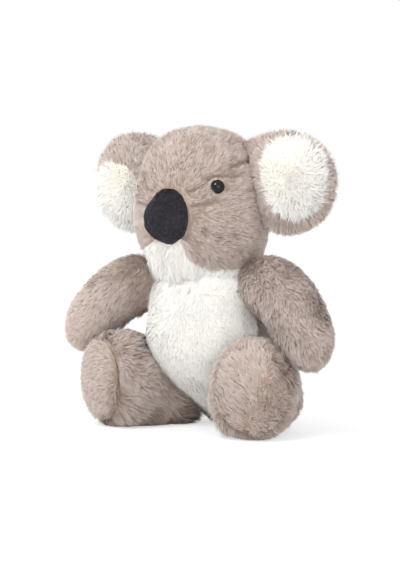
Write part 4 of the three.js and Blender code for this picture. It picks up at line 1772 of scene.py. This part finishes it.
@dataclass
class Ear:
    """An ear: a taupe back dished for a fluffy white lining. It is worked out on the left."""

    side: Side
    head: HeadForm = HeadForm()
    middle: Place = (80.0, 13.0, 209.5)
    half: Place = (42.0, 10.0, 41.0)
    lining_half: Place = (33.0, 8.0, 34.0)
    lining_forward: float = 7.0
    lining_rise: float = 5.0
    turn: float = 6.0
    seam: tuple = (53.0, 67.0)
    sink: float = 2.6
    lining_sink: float = 1.5
    root_sink: float = 3.0
    seeds: tuple = (31, 36)
    pile: Pile = Pile(length=7.2, width=0.4, density=270.0, lean=46.0, droop=24.0)
    lining_pile: Pile = Pile(
        length=9.0, length_spread=0.25, width=0.36, density=400.0, lean=36.0, droop=24.0,
        clump=0.22, clump_size=3.2, curl=35.0, wander=26.0, mottle=0.0, softness=0.9,
    )
    corner_fill: float = 0.5
    white_middles: tuple = ((10.0, -1.0), (12.0, -19.0))
    white_halves: tuple = ((24.5, 30.0), (31.0, 30.0))
    white_leans: tuple = (0.25, -0.5)
    # Painted shade in the fold by the head: where it lies and how dark it is on each side
    fold_across: tuple = (-38.0, -22.0)
    painted_fold_shading: tuple = (-0.7, -0.1)
    back_tint: float = 0.1
    lining_tint: float = 0.25
    cream_middle: tuple = (0.8, 14.0)
    short_middle: tuple = (0.6, 0.4)
    short_distances: tuple = (6.0, 24.0)
    white_depth: float = -6.0
    lining_seat: float = 0.93
    lining_edge: float = -2.0

    def build(self, shop: Workshop) -> None:
        """Make the ear's pieces.

        Args:
            shop: Makes the pieces.
        """
        middle, half = np.array(self.middle), np.array(self.half) - self.sink
        lining_half = np.array(self.lining_half) - self.lining_sink
        back = self._dished(self._squared(oval_surface(middle, half, self.turn, 96, 60)))
        lining = oval_surface(self.lining_middle, lining_half, self.turn, 84, 52)
        back, lining = self._trimmed(back), self._trimmed(lining)
        taupe_plots, white_plots = [], []
        seed = self.seeds[self.side.index]
        for skin, shown in ((back, self._open_back), (lining, self._open_lining)):
            taupe_plots.append((skin, seed, self._roots(shown, in_white=False)))
            white_plots.append((skin, seed + 1, self._roots(shown, in_white=True)))
            seed += 2
        how = {"tint_at": self._painted_fold_shade, "avoid": [self.head]}
        taupe_pelt = grow_pelts(taupe_plots, self.pile, self._outward, **how)
        how |= {"tint_at": self._cream_tint, "length_at": self._lining_length}
        white_pelt = grow_pelts(white_plots, self.lining_pile, self._out_of_lining, **how)
        side = self.side
        pieces = (
            shop.cloth("ear_back_cloth", "ear_back", back, shop.finish.taupe_knit, side=side),
            shop.cloth("ear_lining_cloth", "ear_lining", lining, shop.finish.white_knit, side=side),
            shop.pelt("ear_pile", taupe_pelt, shop.finish.taupe, side),
            shop.pelt("ear_lining_pile", white_pelt, shop.finish.cream, side),
        )
        level = self.middle[1:]
        start, end = (shop.point(np.array([reach, *level]) * side.flip) for reach in self.seam)
        for piece in pieces:
            Body.HEAD.of()
            Body.EAR.of(side)
            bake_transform(piece)

    def __post_init__(self) -> None:
        """Work out the ways ahead of and across the ear's face, and its lining's middle."""
        self.ahead, self.across = heading(self.turn)
        forward = self.lining_forward * self.ahead
        self.lining_middle = np.array(self.middle) + forward + [0, 0, self.lining_rise]

    def _outward(self, points: Array) -> Array:
        """The nap runs out from the ear's middle to its rim."""
        return points - np.array(self.middle)

    def _out_of_lining(self, points: Array) -> Array:
        """The lining's hair spreads from its middle and a little up."""
        return points - self.lining_middle + 4 * np.array([0, 0, 1.0])

    def _open_back(self, points: Array) -> Array:
        """Roots on the ear's back and rim, clear of the lining's seat and of the head."""
        local, half = points - self.lining_middle, self.lining_half
        flat = np.hypot(local @ self.across / half[0], local[:, 2] / half[2])
        front = local @ self.ahead > -half[1]
        return ~((flat < self.lining_seat) & front) & (self.head.depth(points) < ROOT_DEPTH)

    def _open_lining(self, points: Array) -> Array:
        """Roots on the lining's open side."""
        ahead = (points - self.lining_middle) @ self.ahead
        return (ahead > self.lining_edge) & (self.head.depth(points) < ROOT_DEPTH)

    def _white(self, points: Array) -> Array:
        """Places in the white, which sits differently on the two ears."""
        index = self.side.index
        local = points - self.lining_middle
        (across, up), half = self.white_middles[index], self.white_halves[index]
        over, rise = local @ self.across - across, (local[:, 2] - up) / half[1]
        leaning = (over > 0) == bool(index)
        flat = np.hypot(over / (half[0] * (1 + self.white_leans[index] * rise * leaning)), rise)
        return (flat < 1) & (local @ self.ahead > self.white_depth)

    def _roots(self, shown: Amount, in_white: bool) -> Amount:
        """Pick the shown roots in the white, or those outside it."""

        def roots(points: Array) -> Array:
            """Whether each place is such a root."""
            return shown(points) & (self._white(points) == in_white)

        return roots

    def _cream_tint(self, points: Array) -> Array:
        """The middle of the lining is creamier."""
        far = np.linalg.norm(points - self.lining_middle, axis=1)
        share, width = self.cream_middle
        return self.lining_tint - share * bell(far, width)

    def _lining_length(self, points: Array) -> Array:
        """The hair is shorter in the lining's middle."""
        far = np.linalg.norm(points - self.lining_middle, axis=1)
        least, growth = self.short_middle
        return least + growth * eased(far, *self.short_distances)

    def _painted_fold_shade(self, points: Array) -> Array:
        """Painted shade: the taupe is darker in the fold by the head."""
        across = (points - np.array(self.middle)) @ self.across
        fold = self.painted_fold_shading[self.side.index] * (1 - eased(across, *self.fold_across))
        return fold + self.back_tint

    def _squared(self, skin: Surface) -> Surface:
        """Fill the ear's upper inner corner, where it runs level into the crown."""
        local = skin.points - np.array(self.middle)
        across, up = local @ self.across / self.half[0], local[:, 2] / self.half[2]
        corner = np.clip(-across, 0, 1) * np.clip(up, 0, 1) * 2
        fuller = self.corner_fill * corner * across * self.half[0]
        points = skin.points + fuller[:, None] * self.across
        points[:, 2] += 0.06 * self.half[2] * corner
        return skin.moved(points)

    def _dished(self, skin: Surface) -> Surface:
        """Push the ear's front in behind its lining."""
        local = skin.points - self.lining_middle
        across, ahead = local @ self.across, local @ self.ahead
        half = np.array(self.lining_half) - 1.0
        flat = (across / half[0]) ** 2 + (local[:, 2] / half[2]) ** 2
        seat = -half[1] * np.sqrt(np.clip(1 - flat, 0, 1)) - 0.6
        push = np.where((flat < 1) & (ahead > seat), seat - ahead, 0)
        return skin.moved(skin.points + push[:, None] * self.ahead)

    def _trimmed(self, skin: Surface) -> Surface:
        """Leave out the part that lies inside the head."""
        shown = self.head.depth(skin.points) < self.root_sink
        quads = skin.quads[shown[skin.quads].any(axis=1)]
        tris = skin.tris[shown[skin.tris].any(axis=1)]
        corners = np.concatenate([quads.reshape(-1), tris.reshape(-1)])
        used, fresh = np.unique(corners, return_inverse=True)
        fresh = fresh.reshape(-1)
        cut = len(quads) * 4
        return Surface(skin.points[used], fresh[:cut].reshape(-1, 4), fresh[cut:].reshape(-1, 3))


@dataclass
class Arm:
    """An arm that hangs from the shoulder and rests its paw on the thigh."""

    side: Side
    body: BodyForm = BodyForm()
    head: HeadForm = HeadForm()
    shoulders: tuple = ((42.0, 9.0, 119.0), (42.0, 9.0, 112.0))
    bends: tuple = ((91.0, -2.0, 141.0), (80.0, -2.0, 143.0))
    paws: tuple = ((120.0, -10.0, 58.0), (127.0, -10.0, 63.0))
    brushed: tuple = (((0.5, 0.15, -0.75), (0.0, 0.3, 0.0)), ((0.0, 0.0, -0.65), (0.6, 0.9, 0.0)))
    half_width: float = 24.5
    half_height: float = 26.5
    tip_cap: float = 0.22
    shares: tuple = (
        (0.0, 0.55, 0.7), (0.25, 0.86, 1.0), (0.5, 0.99, 1.0), (0.75, 0.97, 0.96),
        (1.0, 0.95, 0.95),
    )
    sink: float = 3.8
    filling_sink: float = 5.0
    seam: tuple = (0.12, 0.36)
    seeds: tuple = (62, 56)
    shoulder_shares: tuple = (0.2, 0.7)
    paw_shares: tuple = (0.7, 0.95)
    hang: Place = (0.0, 0.12, -0.25)
    # Painted light on the left shoulder and painted shade in the right one's fold, then painted
    # light on the right paw
    fold_shares: tuple = (0.1, 0.6)
    painted_fold_shading: tuple = (0.8, 0.55)
    painted_paw_light_shares: tuple = (0.5, 0.85)
    painted_paw_light: tuple = (0.04, 0.85)
    pile: Pile = Pile(
        length=7.3, width=0.38, density=320.0, clump=0.4, curl=24.0, wander=18.0, mottle=0.16,
    )

    def form(self) -> LimbForm:
        """The arm's stuffed form."""
        stations = (table[self.side.index] for table in (self.shoulders, self.bends, self.paws))
        line, across = bent_line(*map(np.array, stations)), (0.0, 1.0, 0.0)
        half_sizes = self.half_width, self.half_height
        return LimbForm(line, across, *half_sizes, self.shares, tip_cap=self.tip_cap)

    def build(self, shop: Workshop) -> None:
        """Make the arm's pieces.

        Args:
            shop: Makes the pieces.
        """
        form, trunk, side = self.form(), [self.body, self.head], self.side
        rows = form.rows(trunk, 44, 72, self.sink + SEAM_BITE)
        skin = grid_surface(rows, True, end=rows[-1].mean(axis=0)).offset(-self.sink)
        filling = limb_filling(form.rows(trunk, 24, 40, -1.0), self.filling_sink, 8)
        seed, how = self.seeds[side.index], {"tint_at": self._painted_shading, "avoid": trunk}
        pelt = grow_pelt(skin, self.pile, self._comb, seed, self._free, **how)
        pieces = (
            shop.cloth("arm_cloth", "arm_skin", skin, shop.finish.taupe_knit, side=side),
            shop.pelt("arm_pile", pelt, shop.finish.taupe, side),
            shop.cloth("arm_filling", "arm_stuffing", filling, shop.finish.fibre, 0.85, side),
        )
        start, end = seam_ends(shop, form, self.seam, side)
        for piece in pieces:
            Body.TORSO.of()
            Body.ARM.of(side)
            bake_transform(piece)

    def _comb(self, points: Array) -> Array:
        """The nap runs down the arm and over the paw."""
        form = self.form()
        share = form.share_of(points)
        top = (1 - eased(share, *self.shoulder_shares))[:, None]
        end = eased(share, *self.paw_shares)[:, None]
        shoulder, paw = self.brushed[self.side.index]
        way = form.ahead(share) + np.array(self.hang)
        return way * (1 - 0.8 * top) + top * np.array(shoulder) + end * np.array(paw)

    def _free(self, points: Array) -> Array:
        """Roots outside the body and the head."""
        in_body, in_head = self.body.depth(points), self.head.depth(points)
        return (in_body < ROOT_DEPTH) & (in_head < ROOT_DEPTH)

    def _painted_shading(self, points: Array) -> Array:
        """Painted light makes the left shoulder pale. Painted shade darkens the right one in its
        fold, and painted light makes its paw paler.
        """
        share = self.form().share_of(points)
        start = self.painted_fold_shading[self.side.index] * (1 - eased(share, *self.fold_shares))
        if self.side is Side.LEFT:
            return start
        plain, paler = self.painted_paw_light
        return plain + paler * eased(share, *self.painted_paw_light_shares) - start


def seam_ends(shop: Workshop, form: LimbForm, shares: tuple, side: Side) -> tuple[Place, Place]:
    """Where a limb's seam with the torso starts and ends."""
    start, end = (shop.point(form.line(np.array(share)) * side.flip) for share in shares)
    return start, end


def limb_filling(rows: Array, sink: float, seed: int) -> Surface:
    """A limb's stuffing.

    Args:
        rows: The limb's rings from its root to its tip.
        sink: How far inside them the stuffing lies.
        seed: Fixes its lumps.

    Returns:
        The closed form.
    """
    shell = grid_surface(rows, True)
    points = shell.offset(-sink).points
    points -= 0.6 * (1 + Waves(seed, 12.0).at(points))[:, None] * shell.normals
    points[:, 2] = np.maximum(points[:, 2], sink)
    return capped(points.reshape(rows.shape), INNER_RINGS)


@dataclass
class Leg:
    """A leg that lies on the seat's surface, with its sole turned to the front."""

    side: Side
    body: BodyForm = BodyForm()
    sole_middle: Place = (78.0, -37.0, 41.5)
    foot_half_width: float = 34.0
    foot_half_height: float = 42.0
    length: float = 92.0
    splay: float = 25.0
    sole_bulge: float = 13.0
    seam_gap: float = 0.3
    floor_bite: float = 0.5
    inner_swell: float = 3.2
    widest_share: float = 0.7
    root_cap: float = 0.3
    seam: tuple = (0.34, 0.64)
    seeds: tuple = (71, 76)
    swell_across: tuple = (48.0, 78.0)
    brushed: tuple = ((-0.55, 0.0, 0.85), (0.9, 0.0, -0.25))
    rough: Place = (0.5, 0.0, -0.6)
    nap: Place = (-0.8, 0.0, -0.5)
    rough_edge: tuple = (-7.0, 7.0)
    mess: float = 3.0
    mess_edge: tuple = (-4.0, 8.0)
    # Where the sole's painted shade starts past its parting and how high its painted light reaches,
    # and where the legs' painted shade in the folds lies
    painted_shade_edge: tuple = (-4.0, 6.0)
    painted_light_heights: tuple = (6.0, 26.0)
    fold_heights: tuple = (4.0, 26.0)
    hip_shares: tuple = (0.45, 0.95)
    gap_hair: float = 0.9
    gap_heights: tuple = (14.0, 44.0)
    gap_across: tuple = (46.0, 66.0)
    partings: tuple = ((1.0, 7.0, 0.33, 3.0, 12.0), (-1.0, 24.0, 0.1, 1.5, 9.0))
    # The sole's painted light on its brushed part and painted shade past its parting, by side
    sole_painted_shading: tuple = ((0.9, 0.45), (0.3, 0.4))
    shares: tuple = (
        (0.0, 0.84, 0.5), (0.3, 0.95, 0.66), (0.55, 1.0, 0.9), (0.8, 1.01, 1.0),
        (0.93, 0.96, 0.96), (1.0, 0.85, 0.86),
    )
    sink: float = 3.4
    filling_sink: float = 5.0
    pile: Pile = Pile(
        length=7.5, density=250.0, lean=42.0, droop=24.0, clump=0.45, curl=60.0, twist=0.8,
        mottle=0.26,
    )
    sole_pile: Pile = Pile(length=6.5, density=270.0, lean=52.0, clump=0.3, curl=26.0, wander=12.0)

    def __post_init__(self) -> None:
        """Work out the way that the leg points and the level way across its sole."""
        self.way, self.across = heading(self.splay)

    def form(self) -> LimbForm:
        """The leg's stuffed form."""

        def line(share: Array) -> Array:
            """The middle of the leg: straight from above, and as high as the leg is thick."""
            share = np.asarray(share, float)
            place = np.array(self.sole_middle) - self.way * self.length * (1 - share[..., None])
            rise = smooth_share(self.shares, np.minimum(share, self.widest_share), 2)
            place[..., 2] = self.foot_half_height * rise - self.floor_bite
            return place

        half_sizes, way = (self.foot_half_width, self.foot_half_height), tuple(self.way)
        across = (1.0, 0.0, 0.0)
        return LimbForm(line, across, *half_sizes, self.shares, root_cap=self.root_cap, way=way)

    def sole(self) -> Surface:
        """The domed sole at the end of the foot."""
        way, middle = self.way, np.array(self.sole_middle)
        turns = np.concatenate([[-0.25, -0.12], np.linspace(0, math.pi / 2, 22)[:-1]])
        angle = full_turn(72)[:, None]
        _, wide, high = self.shares[-1]
        rows = []
        for turn in turns:
            centre = middle + way * (self.seam_gap + self.sole_bulge * math.sin(turn))
            half_w = self.foot_half_width * wide * math.cos(turn)
            half_h = self.foot_half_height * high * math.cos(turn)
            upward = half_h * np.sin(angle) * np.array([0, 0, 1.0])
            rows.append(centre + half_w * np.cos(angle) * self.across + upward)
        tip = middle + way * (self.seam_gap + self.sole_bulge)
        return grid_surface(np.stack(rows), True, end=tip)

    def build(self, shop: Workshop) -> None:
        """Make the leg's pieces.

        Args:
            shop: Makes the pieces.
        """
        form, side, trunk = self.form(), self.side, [self.body]
        rows = form.rows(trunk, 46, 84, self.sink + SEAM_BITE)
        skin = self._laid(grid_surface(rows, True).offset(-self.sink))
        sole = self._laid(self.sole().offset(-self.sink))
        filling = limb_filling(form.rows(trunk, 24, 40, -1.0), self.filling_sink, 9)
        seed = self.seeds[side.index]
        hair = self._free, self._length
        how = {"tint_at": self._painted_shading, "avoid": trunk}
        pelt = grow_pelt(skin, self.pile, self._comb, seed, *hair, **how)
        how = {"tint_at": self._painted_sole_shading, "mess_at": self._sole_mess}
        sole_pelt = grow_pelt(sole, self.sole_pile, self._sole_comb, seed + 1, *hair, **how)
        cloth = shop.cloth("leg_cloth", "leg_skin", skin, shop.finish.taupe_knit, side=side)
        sole_cloth = shop.cloth("sole_cloth", "foot_sole", sole, shop.finish.taupe_knit, side=side)
        fur = shop.pelt("leg_pile", pelt, shop.finish.taupe, side)
        sole_fur = shop.pelt("sole_pile", sole_pelt, shop.finish.taupe, side)
        stuffing = shop.cloth("leg_filling", "leg_stuffing", filling, shop.finish.fibre, 0.85, side)
        start, end = seam_ends(shop, form, self.seam, side)
        for piece in (cloth, fur, stuffing):
            Body.TORSO.of()
            Body.LEG.of(side)
            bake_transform(piece)
        for piece in (sole_cloth, sole_fur):
            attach(piece, Body.LEG.of(side))

    def _comb(self, points: Array) -> Array:
        """The nap runs back from the foot and a little down."""
        back, _, down = self.nap
        return np.tile(back * self.way + np.array([0, 0, down]), (len(points), 1))

    def _parted(self, points: Array) -> Array:
        """How far places lie beyond the sole's smooth part, in millimetres."""
        way, shift, slope, waver, size = self.partings[self.side.index]
        local = points - np.array(self.sole_middle)
        across = way * (local @ self.across)
        return across - shift - slope * local[:, 2] + waver * Waves(18, size).at(points)

    def _sole_comb(self, points: Array) -> Array:
        """The sole's nap is brushed smooth to one side, and the rest lies rough."""
        smooth, rough = np.array(self.brushed[self.side.index]), np.array(self.rough)
        return smooth + (rough - smooth) * eased(self._parted(points)[:, None], *self.rough_edge)

    def _painted_sole_shading(self, points: Array) -> Array:
        """Painted light and shade: the brushed part is pale, most of all low down, and the messy
        part darker.
        """
        pale, dark = self.sole_painted_shading[self.side.index]
        low = 1 - eased(points[:, 2], *self.painted_light_heights)
        return 0.08 + pale * low - dark * eased(self._parted(points), *self.painted_shade_edge)

    def _sole_mess(self, points: Array) -> Array:
        """The strands stray more outside the brushed part."""
        return 1 + self.mess * eased(self._parted(points), *self.mess_edge)

    def _painted_shading(self, points: Array) -> Array:
        """Painted light and shade: the left leg is paler low down and its foot's outer side darker;
        both are darker in the fold by the body, and the right one by the sole.
        """
        low = 1 - eased(points[:, 2], *self.fold_heights)
        share = self.form().share_of(points)
        by_hip = 1 - eased(share, *self.hip_shares)
        if self.side is Side.LEFT:
            return 0.1 * low - 0.3 * by_hip - 0.22 * eased(points[:, 0], 80.0, 105.0)
        return 0.12 - 0.95 * by_hip * (1.6 * low + 0.3) - 0.35 * eased(share, 0.93, 0.99)

    def _free(self, points: Array) -> Array:
        """Roots outside the body."""
        return self.body.depth(points) < ROOT_DEPTH

    def _length(self, points: Array) -> Array:
        """The hair is longer low on the inner side, where it fills the gap to the body."""
        low = 1 - eased(points[:, 2], *self.gap_heights)
        return 1 + self.gap_hair * low * (1 - eased(points[:, 0], *self.gap_across))

    def _laid(self, skin: Surface) -> Surface:
        """Lay a skin on what the koala sits on, and let it swell towards the other leg."""
        points = skin.points.copy()
        points[:, 0] -= self.inner_swell * (1 - eased(points[:, 0], *self.swell_across))
        return skin.moved(points).laid()


def main() -> None:
    """Build the koala and its studio."""
    logging.basicConfig(level=logging.INFO, format="%(name)s: %(message)s")
    build_camera()
    build_studio()
    build_stage()
    shop = Workshop(make_finishes())
    for part in (Torso(), Head(), *(kind(side) for side in Side for kind in (Ear, Arm, Leg))):
        part.build(shop)
    log.info("%d pieces made", len(shop.made))


if __name__ == "__main__":
    main()
